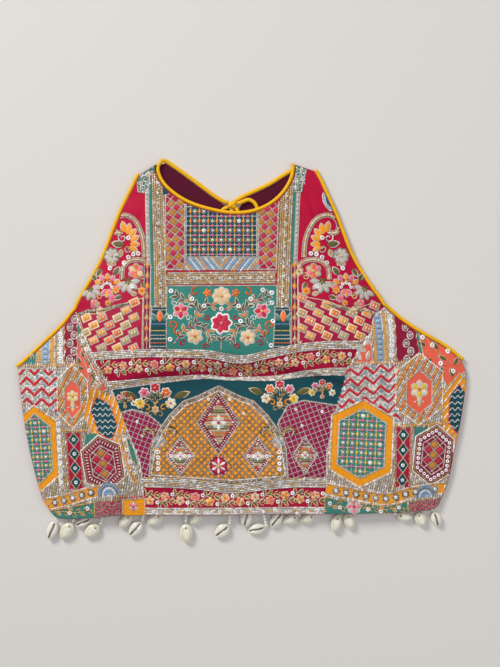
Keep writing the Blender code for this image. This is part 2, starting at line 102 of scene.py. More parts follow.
class Shader:
    """A material under construction."""

    def __init__(self, name, **uniform):
        self.material = bpy.data.materials.new(name)
        self.material.use_nodes = True
        self.tree = self.material.node_tree
        self.surface = self.tree.nodes["Principled BSDF"]
        self.set(**uniform)

    def put(self, socket, value):
        if isinstance(value, Socket):
            self.tree.links.new(value.output, socket)
        else:
            socket.default_value = value

    def node(self, kind, settings=None, inputs=None, output=0):
        made = self.tree.nodes.new(kind)
        for name, value in (settings or {}).items():
            setattr(made, name, value)
        for name, value in (inputs or {}).items():
            self.put(made.inputs[name], value)
        return Socket(self, made.outputs[output])

    def set(self, **values):
        for name, value in values.items():
            self.put(self.surface.inputs[name.replace("_", " ")], value)

    def uv(self):
        return self.node("ShaderNodeUVMap", {"uv_map": "UVMap"})

    def place(self):
        return self.node("ShaderNodeTexCoord", output="Object")

    def attribute(self, name, output=2):
        """What each point of the mesh carries under a name: a plain number, or its "Color"."""
        return self.node("ShaderNodeAttribute", {"attribute_name": name}, None, output)

    def noise(self, vector, scale, detail=2.0):
        return self.node("ShaderNodeTexNoise", None,
                         {"Vector": vector, "Scale": scale, "Detail": detail})

    def wave(self, vector, scale, direction="X", **inputs):
        """Even bands, like threads side by side."""
        settings = {"wave_type": "BANDS", "bands_direction": direction}
        inputs = {name.replace("_", " "): value for name, value in inputs.items()}
        return self.node("ShaderNodeTexWave", settings, {"Vector": vector, "Scale": scale, **inputs}, 1)

    def mix(self, factor, first, second):
        first, second = (shade if isinstance(shade, Socket) else (*shade, 1.0) for shade in (first, second))
        return self.node("ShaderNodeMix", {"data_type": "RGBA"}, {0: factor, 6: first, 7: second}, 2)

    def dye(self, tone, reach, brightness):
        """Colours the surface with each thread's own dye, darker and lighter with a tone."""
        shade = self.node("ShaderNodeMapRange", None,
                          {"Value": tone, "From Min": reach[0], "From Max": reach[1],
                           "To Min": brightness[0], "To Max": brightness[1]})
        thread = self.attribute("thread", "Color")
        self.set(Base_Color=self.node("ShaderNodeVectorMath", {"operation": "SCALE"},
                                      {0: thread, "Scale": shade}))

    def bump(self, height, distance, strength):
        normal = self.node("ShaderNodeBump", None,
                           {"Height": height, "Distance": distance, "Strength": strength})
        self.set(Normal=normal)


def srgb(red, green, blue):
    """A screen colour as the linear light that Blender works in."""
    values = np.array((red, green, blue)) / 255.0
    return tuple(np.where(values <= 0.04045, values / 12.92, ((values + 0.055) / 1.055) ** 2.4))


print("shader tools ready")

# %% [markdown]
# ## Lines on the cloth
# A pattern cutter draws a few points and joins them with a smooth curve. A Catmull-Rom curve does the
# same. The helpers below measure along such a curve, move it sideways and cut it, all on arrays.

# %% Curves and measures
BEND_WEIGHT = 14.0


def smooth_step(value):
    value = np.clip(value, 0.0, 1.0)
    return value * value * (3.0 - 2.0 * value)


def smooth_curve(points, steps=16):
    knots = np.array(points, float)
    knots = np.vstack([2 * knots[0] - knots[1], knots, 2 * knots[-1] - knots[-2]])
    t = np.linspace(0.0, 1.0, steps, endpoint=False)[:, None]
    line = [0.5 * (2 * start + t * (end - before) + t ** 2 * (2 * before - 5 * start + 4 * end - after)
                   + t ** 3 * (3 * start - before - 3 * end + after))
            for before, start, end, after in zip(knots, knots[1:], knots[2:], knots[3:])]
    return np.vstack(line + [knots[-2:-1]])


def lengths(line):
    return np.concatenate([[0.0], np.cumsum(np.linalg.norm(np.diff(line, axis=0), axis=1))])


def read_at(line, measure, wanted):
    return np.column_stack([np.interp(wanted, measure, column) for column in line.T])


def evenly(line, spacing):
    """The line with points about this far apart."""
    line = np.array(line, float)
    measure = lengths(line)
    count = max(1, round(measure[-1] / spacing))
    return read_at(line, measure, np.linspace(0.0, measure[-1], count + 1))


def spread(line, count):
    """So many stretches along a line, shorter where it bends."""
    step = np.diff(line, axis=0)
    heading = np.unwrap(np.arctan2(step[:, 1], step[:, 0]))
    turns = np.append(np.abs(np.diff(heading)), 0.0)
    measure = np.concatenate([[0.0], np.cumsum(np.linalg.norm(step, axis=1) + BEND_WEIGHT * turns)])
    return read_at(line, measure, np.linspace(0.0, measure[-1], count + 1))


def headings(line):
    """The unit direction at each point of a line, seen from above."""
    ahead = np.gradient(np.asarray(line, float)[:, :2], axis=0)
    return ahead / np.maximum(np.linalg.norm(ahead, axis=1), 1e-9)[:, None]


def beside(line, distance):
    """The line moved sideways, to its left for a positive distance."""
    moved = np.array(line, float)
    ahead = headings(line)
    moved[:, 0] -= ahead[:, 1] * distance
    moved[:, 1] += ahead[:, 0] * distance
    return moved


def cut_between(line, start, end):
    """The stretch of a line between the points nearest to two places, in that order."""
    first = int(np.argmin(np.linalg.norm(line - np.array(start), axis=1)))
    last = int(np.argmin(np.linalg.norm(line - np.array(end), axis=1)))
    if first <= last:
        return line[first:last + 1]
    return line[last:first + 1][::-1]


OUTLINES = {
    "armhole_left": [(-223, -13.5), (-201.9, 6.5), (-178, 29.8), (-157.3, 63), (-139.8, 96), (-123.8, 138),
                     (-105.4, 176.5)],
    "armhole_right": [(219.5, -6), (205.8, 5), (172.3, 24.2), (146.8, 44.9), (127.6, 69.5), (110.1, 99.5),
                      (95.7, 137), (77.2, 178)],
    "neckline": [(-79.6, 192.8), (-83.6, 189), (-84.7, 181.5), (-76.5, 166.3), (-56, 151), (-30, 142),
                 (-5, 138.6), (16.5, 142.2), (33.3, 151.6), (45.5, 165.6), (51.4, 180), (50.9, 188.6)],
    "side_left": [(-192.5, -161.5), (-200.7, -147.5), (-210.3, -113.8), (-218.3, -74.2), (-222.7, -41.9),
                  (-225.2, -17)],
    "side_right": [(197.6, -155.5), (206.8, -134.3), (212.7, -106.4), (220.8, -66.8), (225.6, -27.2),
                   (221.5, -10)],
    "seam_left": [(-95.8, -164), (-97.5, -150), (-101, -125), (-110.5, -98.3), (-118.3, -69.1),
                  (-128.5, -40.5), (-143.8, -15), (-155.1, 10.5), (-165, 42)],
    "seam_right": [(83.4, -163), (83.2, -126.7), (85.2, -98.7), (90, -63.7), (100.2, -32.7), (110.2, -14.7),
                   (120.2, 8.3), (130.5, 28.5), (140, 45.5)],
    "hem": [(-192.5, -161.5), (-183.1, -168), (-154.7, -167.4), (-125.1, -164.4), (-95.8, -164),
            (-24.8, -164), (20.2, -162.6), (83.4, -163), (150.2, -161.5), (188, -159.6), (197.6, -155.5)],
}
LINES = {name: smooth_curve(points) for name, points in OUTLINES.items()}
for name, line in LINES.items():
    print(f"{name}: {lengths(line)[-1]:.0f} mm")

# %% [markdown]
# ## The lie of the cloth
# The two cups stand up as soft mounds, and the slack of the centre front drops to the midriff in one
# fold. The frame's solids use the same heights, so everything that is sewn on lands on the right place.
# One function gives the height at any spot: a table for the body's section, bells for the mounds and
# creases, and a step for the fold. Small creases are listed on their own, because they are too fine for the
# solids.

# %% Height of the cloth
CLOTH = 2.0
SEAM_GROOVE = 1.2
SEAM_GROOVE_WIDTH = 5.0
BODY = np.array([
    # y, left, right, edge, middle, squareness
    (-170, -192, 197, 2.3, 6.6, 8),
    (-150, -199, 201, 2.3, 7.6, 7),
    (-110, -211, 213, 2.3, 9.8, 5),
    (-60, -220, 222, 2.3, 11.5, 4),
    (-12, -226, 223, 2.3, 13, 4),
    (10, -200, 200, 2.6, 13.5, 4),
    (45, -168, 147, 2.8, 12, 4),
    (100, -138, 110, 2.8, 8, 4),
    (140, -123, 95, 2.5, 5.4, 6),
    (160, -112, 86, 2.3, 2.8, 4),
    (180, -103, 77, 2.3, 0, 4),
    (196, -95, 70, 2.3, 0, 4),
])
MOUNDS = [
    # x, y, half width, half length, height
    (-86, 12, 56, 50, 11),
    (79, 17, 56, 50, 11),
    (-4, 8, 46, 22, 4),
    (-55, -112, 42, 30, 2),
    (38, -108, 36, 32, 2.6),
    (150, -112, 40, 26, 2.4),
    (-158, -92, 36, 42, 2.4),
    (163, -30, 30, 26, 3),
    (-172, -18, 26, 24, 2.6),
]
FOLDS = [
    # x, y, direction in degrees, half length, half width, height
    (-14, -140, 4, 52, 9, -2.6),
    (28, -128, 16, 46, 10, 2.2),
    (-122, -132, 62, 26, 8, 3.2),
    (-143, -60, 66, 44, 8, -2.2),
    (152, -146, 4, 38, 9, -2.2),
    (116, -70, 80, 48, 8, -1.8),
    (-62, 74, 70, 44, 12, -1.8),
    (52, 84, 112, 40, 12, -1.6),
    (-196, -62, 84, 40, 9, 1.6),
    (196, -84, 98, 40, 9, 1.6),
]
SMALL_CREASES = [
    # x, y, direction in degrees, half length, half width, height
    (-40, -3, 8, 34, 2.6, 1),
    (30, -8, -10, 26, 2.4, 0.9),
    (-92, -26, 12, 24, 2.8, -0.9),
    (76, -24, -16, 22, 2.6, -0.8),
    (-118, 22, 60, 20, 3, -0.8),
    (112, 34, 118, 22, 3, -0.9),
    (-20, 62, 84, 26, 3.2, -0.7),
    (-34, 118, 96, 22, 3, 0.6),
    (4, 104, 78, 20, 3, -0.6),
    (-104, 128, 72, 24, 2.6, -0.8),
    (-114, 96, 68, 22, 2.4, 0.7),
    (72, 140, 106, 24, 2.6, -0.8),
    (86, 104, 112, 22, 2.6, 0.7),
    (-60, -60, 74, 22, 3, -0.7),
    (20, -66, 102, 24, 3.2, -0.8),
    (64, -96, 84, 28, 3, 0.8),
    (-84, -120, 70, 22, 2.8, 0.8),
    (-40, -152, 6, 30, 2.6, 0.7),
    (58, -150, -4, 28, 2.6, -0.8),
    (-148, -118, 56, 22, 2.6, -0.9),
    (-176, -140, 30, 20, 2.6, 0.8),
    (-204, -36, 78, 22, 2.6, -0.7),
    (-186, 4, 48, 16, 2.4, 0.7),
    (190, 2, 150, 18, 2.4, -0.7),
    (208, -60, 98, 24, 2.6, 0.8),
    (132, -40, 70, 22, 2.8, 0.8),
    (140, -96, 96, 20, 2.6, -0.7),
    (178, -126, 160, 22, 2.8, 0.8),
    (112, -140, 20, 20, 2.6, 0.7),
]
print("bells for mounds and creases:", len(MOUNDS) + len(FOLDS) + len(SMALL_CREASES))

# %% [markdown]
# The fold under the bust is a step along a sagging line: the cloth above it is slack and hangs over, and
# the step fades further down. Along the two seams the cloth sinks a little and puckers.

# %% Rise and top
BUST_LINE = -14.0
BUST_LINE_SAG = 0.0015
BUST_LINE_MIDDLE = -7.0
BUST_DROP = 8.0
BUST_DROP_SIDES = 1.5
BUST_DROP_SPREAD = 88.0
BUST_DROP_REACH = 52.0
BUST_DROP_HALF = 3.2
PUCKER = 0.16
PUCKER_WIDTH = 9.0
PUCKERS_PER_MM = 0.9


def interpolate(rows, key, column):
    """A smooth value from a table whose first column rises."""
    index = np.clip(np.searchsorted(rows[:, 0], key) - 1, 0, len(rows) - 2)
    low, high = rows[index], rows[index + 1]
    share = smooth_step((key - low[..., 0]) / (high[..., 0] - low[..., 0]))
    return low[..., column] + share * (high[..., column] - low[..., column])


def bust_drop(x, y):
    line = BUST_LINE - BUST_LINE_SAG * (x - BUST_LINE_MIDDLE) ** 2
    depth = BUST_DROP_SIDES + BUST_DROP * np.exp(-((x - BUST_LINE_MIDDLE) / BUST_DROP_SPREAD) ** 2)
    below = smooth_step(0.5 + (line - y) / (2 * BUST_DROP_HALF))
    return depth * below * np.exp(-(np.maximum(0.0, line - y) / BUST_DROP_REACH) ** 2)


def rise(x, y):
    """The height of the front's inside above the surface."""
    left, right = interpolate(BODY, y, 1), interpolate(BODY, y, 2)
    edge, middle = interpolate(BODY, y, 3), interpolate(BODY, y, 4)
    across = np.minimum(1.0, np.abs((x - (left + right) / 2) / ((right - left) / 2)))
    inner = 1.0 - across ** interpolate(BODY, y, 5)
    height = middle.copy()
    for mound_x, mound_y, wide, long, high in MOUNDS:
        height += high * np.exp(-((x - mound_x) / wide) ** 2 - ((y - mound_y) / long) ** 2)
    for fold_x, fold_y, degrees, long, wide, high in FOLDS + SMALL_CREASES:
        turn = math.radians(degrees)
        along = (x - fold_x) * math.cos(turn) + (y - fold_y) * math.sin(turn)
        off = (y - fold_y) * math.cos(turn) - (x - fold_x) * math.sin(turn)
        height += high * np.exp(-(along / long) ** 2 - (off / wide) ** 2)
    height -= bust_drop(x, y)
    for seam in (LINES["seam_left"], LINES["seam_right"]):
        away = x - np.interp(y, seam[:, 1], seam[:, 0])
        below = y < seam[-1, 1]
        height -= below * SEAM_GROOVE * np.exp(-(away / SEAM_GROOVE_WIDTH) ** 2)
        height += below * PUCKER * np.exp(-(away / PUCKER_WIDTH) ** 2) * np.sin(y * PUCKERS_PER_MM)
    return edge + np.maximum(0.0, height * inner)


def top(x, y):
    """The height of the cloth's right side."""
    return rise(x, y) + CLOTH


spot_x, spot_y = np.array((-86.0, 0.0, 79.0)), np.array((12.0, -60.0, 17.0))
print("height at the cups and the midriff:", np.round(top(spot_x, spot_y), 1))

# %% [markdown]
# ## Making meshes
# Most pieces here start as a plain grid: `bmesh.ops.create_grid` makes the faces, and a rule moves each
# vertex to its place. A panel is a grid stretched between four edges, and a tube is a grid rolled round
# a path, with its seam merged and its ends filled. Each piece then rides on the frame's only body.

# %% Grids, tubes and pieces
def to_frame(points):
    """Points in millimetres, as the frame's metres."""
    moved = np.array(points, float)
    moved[:, :2] += OFF_MIDDLE
    return moved * MM


def mesh_of(name, bm):
    mesh = bpy.data.meshes.new(name)
    bm.to_mesh(mesh)
    bm.free()
    return mesh


@contextmanager
def edited(mesh):
    """Opens a mesh for bmesh's operators, and writes it back afterwards."""
    bm = bmesh.new()
    bm.from_mesh(mesh)
    yield bm
    bm.to_mesh(mesh)
    bm.free()


def map_from_above(bm, scale=1.0):
    """Gives every corner the flat place that it has seen from above."""
    layer = bm.loops.layers.uv.get("UVMap") or bm.loops.layers.uv.new("UVMap")
    for face in bm.faces:
        for loop in face.loops:
            loop[layer].uv = (loop.vert.co.x * scale, loop.vert.co.y * scale)


def shaped(mesh, spots, mapped):
    """Moves a mesh's vertices to their places, and gives each corner its vertex's mapping."""
    mesh.vertices.foreach_set("co", to_frame(spots).ravel())
    corner = np.empty(len(mesh.loops), int)
    mesh.loops.foreach_get("vertex_index", corner)
    mesh.uv_layers.new(name="UVMap").uv.foreach_set("vector", (mapped[corner] * MM).ravel())
    return mesh


def grid_mesh(name, columns, rows, place, uv):
    """A grid whose vertex (i, j) goes to place(i, j), and its corners to uv(i, j)."""
    bm = bmesh.new()
    bmesh.ops.create_grid(bm, x_segments=columns, y_segments=rows, size=1.0)
    mesh = mesh_of(name, bm)
    share = (np.array([vert.co[:2] for vert in mesh.vertices]) + 1) / 2
    i = np.rint(share[:, 0] * columns).astype(int)
    j = np.rint(share[:, 1] * rows).astype(int)
    return shaped(mesh, place(i, j), uv(i, j))


def piece(name, mesh, material, nodes=()):
    """A finished piece of the blouse: it rides on the frame's body and stands for its nodes."""
    obj = bpy.data.objects.new(name, mesh)
    bpy.context.scene.collection.objects.link(obj)
    mesh.materials.append(material)
    mesh.shade_smooth()
    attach(obj, "root")
    if nodes:
        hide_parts(*nodes)
    return obj


def tube_mesh(name, path, radii, sides):
    """A round tube along a path, closed at both ends."""
    path = np.array(path, float)
    radii = np.broadcast_to(radii, (len(path),))
    ahead = np.gradient(path, axis=0)
    ahead /= np.linalg.norm(ahead, axis=1)[:, None]
    side = np.cross(ahead, (0.0, 0.0, 1.0))
    side /= np.maximum(np.linalg.norm(side, axis=1), 1e-6)[:, None]
    above = np.cross(side, ahead)
    measure = lengths(path)

    def place(i, j):
        turn = (2 * math.pi * j / sides)[:, None]
        return path[i] + radii[i, None] * (np.cos(turn) * side[i] + np.sin(turn) * above[i])

    def uv(i, j):
        return np.column_stack([measure[i], j / sides * 2 * math.pi * radii[i]])

    mesh = grid_mesh(name, len(path) - 1, sides, place, uv)
    with edited(mesh) as bm:
        bmesh.ops.remove_doubles(bm, verts=bm.verts, dist=1e-7)
        bmesh.ops.holes_fill(bm, edges=bm.edges[:], sides=0)
        bmesh.ops.recalc_face_normals(bm, faces=bm.faces)
    return mesh


print("mesh tools ready")

# %% [markdown]
# ## The piping's satin
# Piping and ties are cut on the bias from marigold yellow satin and rolled. The finish is a soft sheen
# with fine slanting threads and a few creases where the roll is pulled tight, painted darker as shade.

# %% Yellow satin
YELLOW = srgb(255, 206, 0)
YELLOW_IN_SHADE = srgb(240, 168, 0)
BIAS = math.radians(38)


def satin():
    shader = Shader("yellow_satin", Roughness=0.5, Specular_IOR_Level=0.3)
    uv = shader.uv()
    blotch = shader.noise(uv, 260.0)
    # Painted shade: the blotches that dent the bump also turn the satin a deeper yellow in the dips.
    shader.set(Base_Color=shader.mix(blotch, YELLOW_IN_SHADE, YELLOW))
    slant = shader.node("ShaderNodeMapping", None, {"Vector": uv, "Rotation": (0.0, 0.0, BIAS)})
    ribs = shader.wave(slant, 420.0, Distortion=1.2, Detail=1.0)
    shader.bump(ribs + blotch * 1.5, 0.00012, 0.5)
    return shader.material


yellow_satin = satin()
print("made", yellow_satin.name)

# %% [markdown]
# ## The tie at the back of the neck
# A rouleau runs along the V of the back neck and is tied in a small bow that lies inside, on the back.
# The bow's loop and its two tails hang free from the knot, and their lengths are printed. Their routes are
# the frame's own, read from the same points.

# %% Bow and rouleau
GAP = 0.3
TIE_RADIUS = 2.0
TIE_POINT_SPACING = 1.6
KNOT = np.array((-9.3, 147.7))
KNOT_STRAND = 5.1
KNOT_REACH = 4.8
KNOT_HEIGHT = 7.2
BACK_NECK_LEFT = [(-75.7, 190.9), (-68, 186), (-60.6, 180.8), (-45.3, 169.6), (-30, 158.2), (-20.5, 152)]
BACK_NECK_RIGHT = [(46.8, 180.3), (40.0, 176.2), (27.6, 168.4), (12.6, 161.2), (2.3, 156.6)]
BOW_LOOP = [(1.4, 150.6), (6.6, 152.4), (12, 150), (15.4, 144.4), (16.4, 137.4), (12.6, 131), (5.6, 130.2),
            (-0.6, 134.8)]
TAIL_LEFT = [(-19.5, 141.8), (-26, 134), (-30, 123), (-29, 111), (-24, 100)]
TAIL_RIGHT = [(-10.6, 135), (-9, 124), (-11, 112), (-16, 102)]
ON_BACK = CLOTH + GAP + TIE_RADIUS


def knot_end(degrees):
    turn = math.radians(degrees)
    return tuple(KNOT + KNOT_STRAND * np.array((math.cos(turn), math.sin(turn))))


STRANDS = {
    # route, height of its middle
    "back_neck_left": (BACK_NECK_LEFT + [knot_end(158.0)], TIE_RADIUS),
    "back_neck_right": (BACK_NECK_RIGHT + [knot_end(52.0)], TIE_RADIUS),
    "bow_loop": ([knot_end(8.0)] + BOW_LOOP + [knot_end(316.0)], ON_BACK),
    "bow_tail_left": ([knot_end(208.0)] + TAIL_LEFT, ON_BACK),
    "bow_tail_right": ([knot_end(262.0)] + TAIL_RIGHT, ON_BACK),
}
SHOULDER_JOIN = {"back_neck_left": (-79.4, 192.4), "back_neck_right": (50.0, 181.8)}
SHOULDER_CLIMB = 1.6
SHOULDER_CLIMB_REACH = 4.0


def rumpled(path, radius, share=0.05):
    """A rolled strip's radius, slightly uneven along its length."""
    measure = lengths(path)
    return radius * (1 - share * (0.5 + 0.3 * np.sin(measure * 0.9) + 0.2 * np.sin(measure * 2.3)))


for name, (route, height) in STRANDS.items():
    if name in SHOULDER_JOIN:
        route = [SHOULDER_JOIN[name]] + route
    seen = evenly(smooth_curve(route), TIE_POINT_SPACING)
    path = np.column_stack([seen, np.full(len(seen), height)])
    if name in SHOULDER_JOIN:
        path[:, 2] += SHOULDER_CLIMB * np.exp(-(lengths(seen) / SHOULDER_CLIMB_REACH) ** 2)
    mesh = tube_mesh(name, path, rumpled(path, TIE_RADIUS), 14)
    piece("tie_" + name, mesh, yellow_satin, [name])
    if name.startswith("bow"):
        points = to_frame(path)
        far_end = "object" if name == "bow_loop" else "bare"
        lengths(points)[-1]
        print(f"{name}: {lengths(path)[-1]:.0f} mm")

# %% [markdown]
# The knot is the rouleau wrapped once round itself. A sphere gives the body of the knot, and a short
# tube wound over it gives the wrap, which is what the eye reads as a knot.

# %% Knot
WRAP_RADIUS = 1.7


def knot_mesh():
    bm = bmesh.new()
    bmesh.ops.create_uvsphere(bm, u_segments=24, v_segments=14, radius=1.0)
    for vert in bm.verts:
        pinch = 1.0 - 0.12 * math.cos(3.0 * math.atan2(vert.co.y, vert.co.x))
        vert.co.x *= (KNOT_REACH - 0.5) * pinch
        vert.co.y *= (KNOT_REACH - 0.5) * pinch
        vert.co.z *= KNOT_HEIGHT / 2 - 0.4
    map_from_above(bm, MM)
    middle = (*(KNOT + OFF_MIDDLE), KNOT_HEIGHT / 2)
    for vert in bm.verts:
        vert.co = [(a + b) * MM for a, b in zip(vert.co, middle)]
    return mesh_of("bow_knot", bm)


def wrap_path():
    turn = np.linspace(math.radians(-60), math.radians(240), 40)
    reach = KNOT_REACH - WRAP_RADIUS + 0.3
    lean = math.radians(35)
    across, high = reach * np.cos(turn), (KNOT_HEIGHT / 2 - WRAP_RADIUS) * np.sin(turn)
    return np.column_stack([KNOT[0] + across * math.cos(lean), KNOT[1] + across * math.sin(lean),
                            KNOT_HEIGHT / 2 + high])


piece("tie_knot", knot_mesh(), yellow_satin, ["bow_knot"])
piece("tie_knot_wrap", tube_mesh("tie_knot_wrap", wrap_path(), WRAP_RADIUS, 10), yellow_satin)
print("knot tied")

# %% [markdown]
# ## The fronts
# Each front panel is a sheet of cloth stretched between four sewn edges: a Coons patch blends the edges
# over a grid, which keeps the seams exact. The grid is then lifted to the height of the cloth. The right
# side is extruded straight up from the wrong side, so that the rims at the seams stay upright and the
# panels stay apart.

# %% Ground silk
CRIMSON_LIT = srgb(206, 0, 58)
CRIMSON = srgb(184, 4, 58)
MAROON = srgb(132, 4, 46)


def ground_silk():
    shader = Shader("crimson_silk", Roughness=0.55, Specular_IOR_Level=0.18)
    uv = shader.uv()
    height = shader.node("ShaderNodeSeparateXYZ", None, {"Vector": uv}, 1)
    # Painted light: the one silk is brighter crimson towards the shoulders and plainer crimson lower down,
    # as the light falls on it. The maroon blotches are its own uneven tone.
    shoulder = shader.node("ShaderNodeMapRange", {"interpolation_type": "SMOOTHSTEP"},
                           {"Value": height, "From Min": -0.01, "From Max": 0.09})
    colour = shader.mix(shoulder, CRIMSON, CRIMSON_LIT)
    blotch = shader.noise(uv, 90.0, 4.0)
    shader.set(Base_Color=shader.mix(blotch * 0.5, colour, MAROON))
    slub = shader.noise(uv, 700.0)
    weave = shader.wave(uv, 520.0) + shader.wave(uv, 520.0, "Y")
    shader.bump(weave + slub * 2.0, 0.0001, 0.5)
    return shader.material


crimson_silk = ground_silk()
print("made", crimson_silk.name)

# %% Front panels
SEAM_HALF_GAP = 0.2
PIPING_RADIUS = 1.8
PIPING_INSET = PIPING_RADIUS + GAP
SEAM_ROWS = 92
ARMHOLE_ROWS = 56
STRAP_COLUMNS = 8
NECK_COLUMNS = 80
SIDE_COLUMNS = 46
SIDE_ROWS = 80
SHARP_RIM = math.radians(60)
STRAP_TOP_LEFT = [(-102.4, 177.6), (-86.4, 188.0)]
STRAP_TOP_RIGHT = [(54.0, 187.6), (72.6, 181.4)]


def raised_copy(bm):
    """Extrudes all faces, which stay as the wrong side; gives the vertices of the right side."""
    raised = bmesh.ops.extrude_face_region(bm, geom=bm.faces[:], use_keep_orig=True)["geom"]
    return [part for part in raised if isinstance(part, bmesh.types.BMVert)]


def panel_mesh(name, bottom, right, above, left):
    """A closed sheet of cloth stretched between four edges, lifted to its height."""
    columns, rows = len(bottom) - 1, len(left) - 1

    def flat(i, j):
        u, v = (i / columns)[:, None], (j / rows)[:, None]
        corners = ((1 - u) * (1 - v) * bottom[0] + u * (1 - v) * bottom[-1]
                   + (1 - u) * v * above[0] + u * v * above[-1])
        return (1 - v) * bottom[i] + v * above[i] + (1 - u) * left[j] + u * right[j] - corners

    def place(i, j):
        spot = flat(i, j)
        return np.column_stack([spot, rise(spot[:, 0], spot[:, 1])])

    mesh = grid_mesh(name, columns, rows, place, flat)
    with edited(mesh) as bm:
        bmesh.ops.translate(bm, vec=(0.0, 0.0, CLOTH * MM), verts=raised_copy(bm))
        bmesh.ops.recalc_face_normals(bm, faces=bm.faces)
    mesh.set_sharp_from_angle(angle=SHARP_RIM)
    return mesh


def joined(start, line, end):
    """A line whose first and last points are moved to exact places."""
    return np.vstack([[start], line[1:-1], [end]])


print("panel maker ready")

# %% [markdown]
# The edges come in pairs: a seam belongs to two panels, each with its own half of the gap, and an armhole
# is shared by a side panel below and the centre front above. Both panels get points from the same line.

# %% Edges of the panels
seams, sides, under, upper = {}, {}, {}, {}
straps = {"left": np.array(STRAP_TOP_LEFT), "right": np.array(STRAP_TOP_RIGHT[::-1])}
armholes = {"left": beside(LINES["armhole_left"], -PIPING_INSET),
            "right": beside(LINES["armhole_right"], PIPING_INSET)}
for end, toward_centre in (("left", -SEAM_HALF_GAP), ("right", SEAM_HALF_GAP)):
    line = LINES["seam_" + end]
    seams[end] = (spread(beside(line, toward_centre), SEAM_ROWS),
                  spread(beside(line, -toward_centre), SIDE_ROWS))
    sides[end] = spread(LINES["side_" + end], SIDE_ROWS)
    inner, outer = seams[end][0][-1], seams[end][1][-1]
    arm = cut_between(armholes[end], inner, straps[end][0])
    upper[end] = spread(joined(inner, arm, straps[end][0]), ARMHOLE_ROWS)
    arm = cut_between(armholes[end], sides[end][-1], outer)
    under[end] = spread(joined(sides[end][-1], arm, outer), SIDE_COLUMNS)
neck = cut_between(beside(LINES["neckline"], -PIPING_INSET), straps["left"][1], straps["right"][1])
neck = spread(joined(straps["left"][1], neck, straps["right"][1]), NECK_COLUMNS)

crown = np.vstack([spread(straps["left"], STRAP_COLUMNS)[:-1], neck,
                   spread(straps["right"], STRAP_COLUMNS)[::-1][1:]])
edge = {end: np.vstack([seams[end][0][:-1], upper[end]]) for end in ("left", "right")}


def hem_between(start, end, count):
    return spread(joined(start, cut_between(LINES["hem"], start, end), end), count)


panels = {
    "front_centre": panel_mesh("front_centre",
                               hem_between(edge["left"][0], edge["right"][0], len(crown) - 1),
                               edge["right"], crown, edge["left"]),
    "front_side_left": panel_mesh("front_side_left",
                                  hem_between(sides["left"][0], seams["left"][1][0], SIDE_COLUMNS),
                                  seams["left"][1], under["left"], sides["left"]),
    "front_side_right": panel_mesh("front_side_right",
                                   hem_between(seams["right"][1][0], sides["right"][0], SIDE_COLUMNS),
                                   sides["right"], under["right"][::-1], seams["right"][1]),
}
for name, mesh in panels.items():
    obj = piece("cloth_" + name, mesh, crimson_silk, [name])

# %% [markdown]
# ## The backs
# The two back halves lie flat on the surface, under the front, so only the strip below the back neck
# shows, inside the neckline. Each is a flat outline, cut into squares by bisecting it with planes, given
# its thickness by an extrusion, and raised in faint waves on its upper side.

# %% Back halves
BACK_HEM_SHORTER = 11.0
BACK_POINT = (-9.3, 141.5)
BACK_TURN = (-2.4, 144.0)
CENTRE_BACK_HEM = 2.0
BACK_SQUARE = 9.0
BACK_WAVE = 0.12


def lining_cloth():
    shader = Shader("back_lining", Roughness=0.7, Specular_IOR_Level=0.2)
    uv = shader.uv()
    shade = shader.noise(uv, 60.0, 3.0)
    shader.set(Base_Color=shader.mix(shade, srgb(74, 0, 34), srgb(98, 0, 42)))
    shader.bump(shader.wave(uv, 460.0, "DIAGONAL"), 0.0001, 0.4)
    return shader.material


def cut_in_squares(bm, size):
    """Cuts flat faces along a square grid, so that they can follow a curved surface."""
    spots = np.array([vert.co[:2] for vert in bm.verts])
    for axis, normal in ((0, (1.0, 0.0, 0.0)), (1, (0.0, 1.0, 0.0))):
        first = math.ceil(spots[:, axis].min() / size)
        last = math.floor(spots[:, axis].max() / size)
        for step in range(first, last + 1):
            plane = [0.0, 0.0, 0.0]
            plane[axis] = step * size
            bmesh.ops.bisect_plane(bm, geom=bm.verts[:] + bm.edges[:] + bm.faces[:], dist=1e-4,
                                   plane_co=plane, plane_no=normal)


def back_outline(end):
    """One half's outline, round from the centre back hem."""
    way = -1 if end == "left" else 1
    raised = LINES["hem"] + np.array((0.0, BACK_HEM_SHORTER))
    middle = np.array((CENTRE_BACK_HEM, np.interp(CENTRE_BACK_HEM, raised[:, 0], raised[:, 1])))
    aside = np.array((way * SEAM_HALF_GAP, 0.0))
    route = BACK_NECK_LEFT if end == "left" else BACK_NECK_RIGHT
    neck_edge = beside(smooth_curve(route), way * (TIE_RADIUS + GAP))[::-1]
    strap = straps[end]
    arm = beside(LINES["armhole_" + end], way * PIPING_INSET)
    arm = cut_between(arm, strap[0], arm[0])
    side = LINES["side_" + end]
    side = cut_between(side, side[-1], raised[0] if end == "left" else raised[-1])
    low = cut_between(raised, side[-1], middle)[1:-1]
    turn = [[BACK_TURN]] if end == "right" else []
    return np.vstack([[middle + aside], [np.array(BACK_POINT) + aside], *turn, neck_edge, [strap[1]],
                      [strap[0]], arm[1::3], side[1::4], low[::4]])


back_lining = lining_cloth()
for end in ("left", "right"):
    bm = bmesh.new()
    bm.faces.new([bm.verts.new((x, y, 0.0)) for x, y in back_outline(end)])
    cut_in_squares(bm, BACK_SQUARE)
    for vert in raised_copy(bm):
        wave = math.sin(vert.co.x * 0.21) * math.sin(vert.co.y * 0.17)
        vert.co.z = CLOTH + BACK_WAVE * wave - BACK_WAVE
    map_from_above(bm, MM)
    bmesh.ops.recalc_face_normals(bm, faces=bm.faces)
    mesh = mesh_of("back_" + end, bm)
    spots = np.array([vert.co for vert in mesh.vertices])
    mesh.vertices.foreach_set("co", to_frame(spots).ravel())
    mesh.set_sharp_from_angle(angle=math.radians(40))
    obj = piece("cloth_back_" + end, mesh, back_lining, ["back_" + end])

# %% [markdown]
# ## The piping
# The piping is a cord wrapped in bias satin and sewn to the cloth's edge, so its path is the edge's own
# points moved out by the piping's radius. At the cloth it lies level with the two layers that it binds.

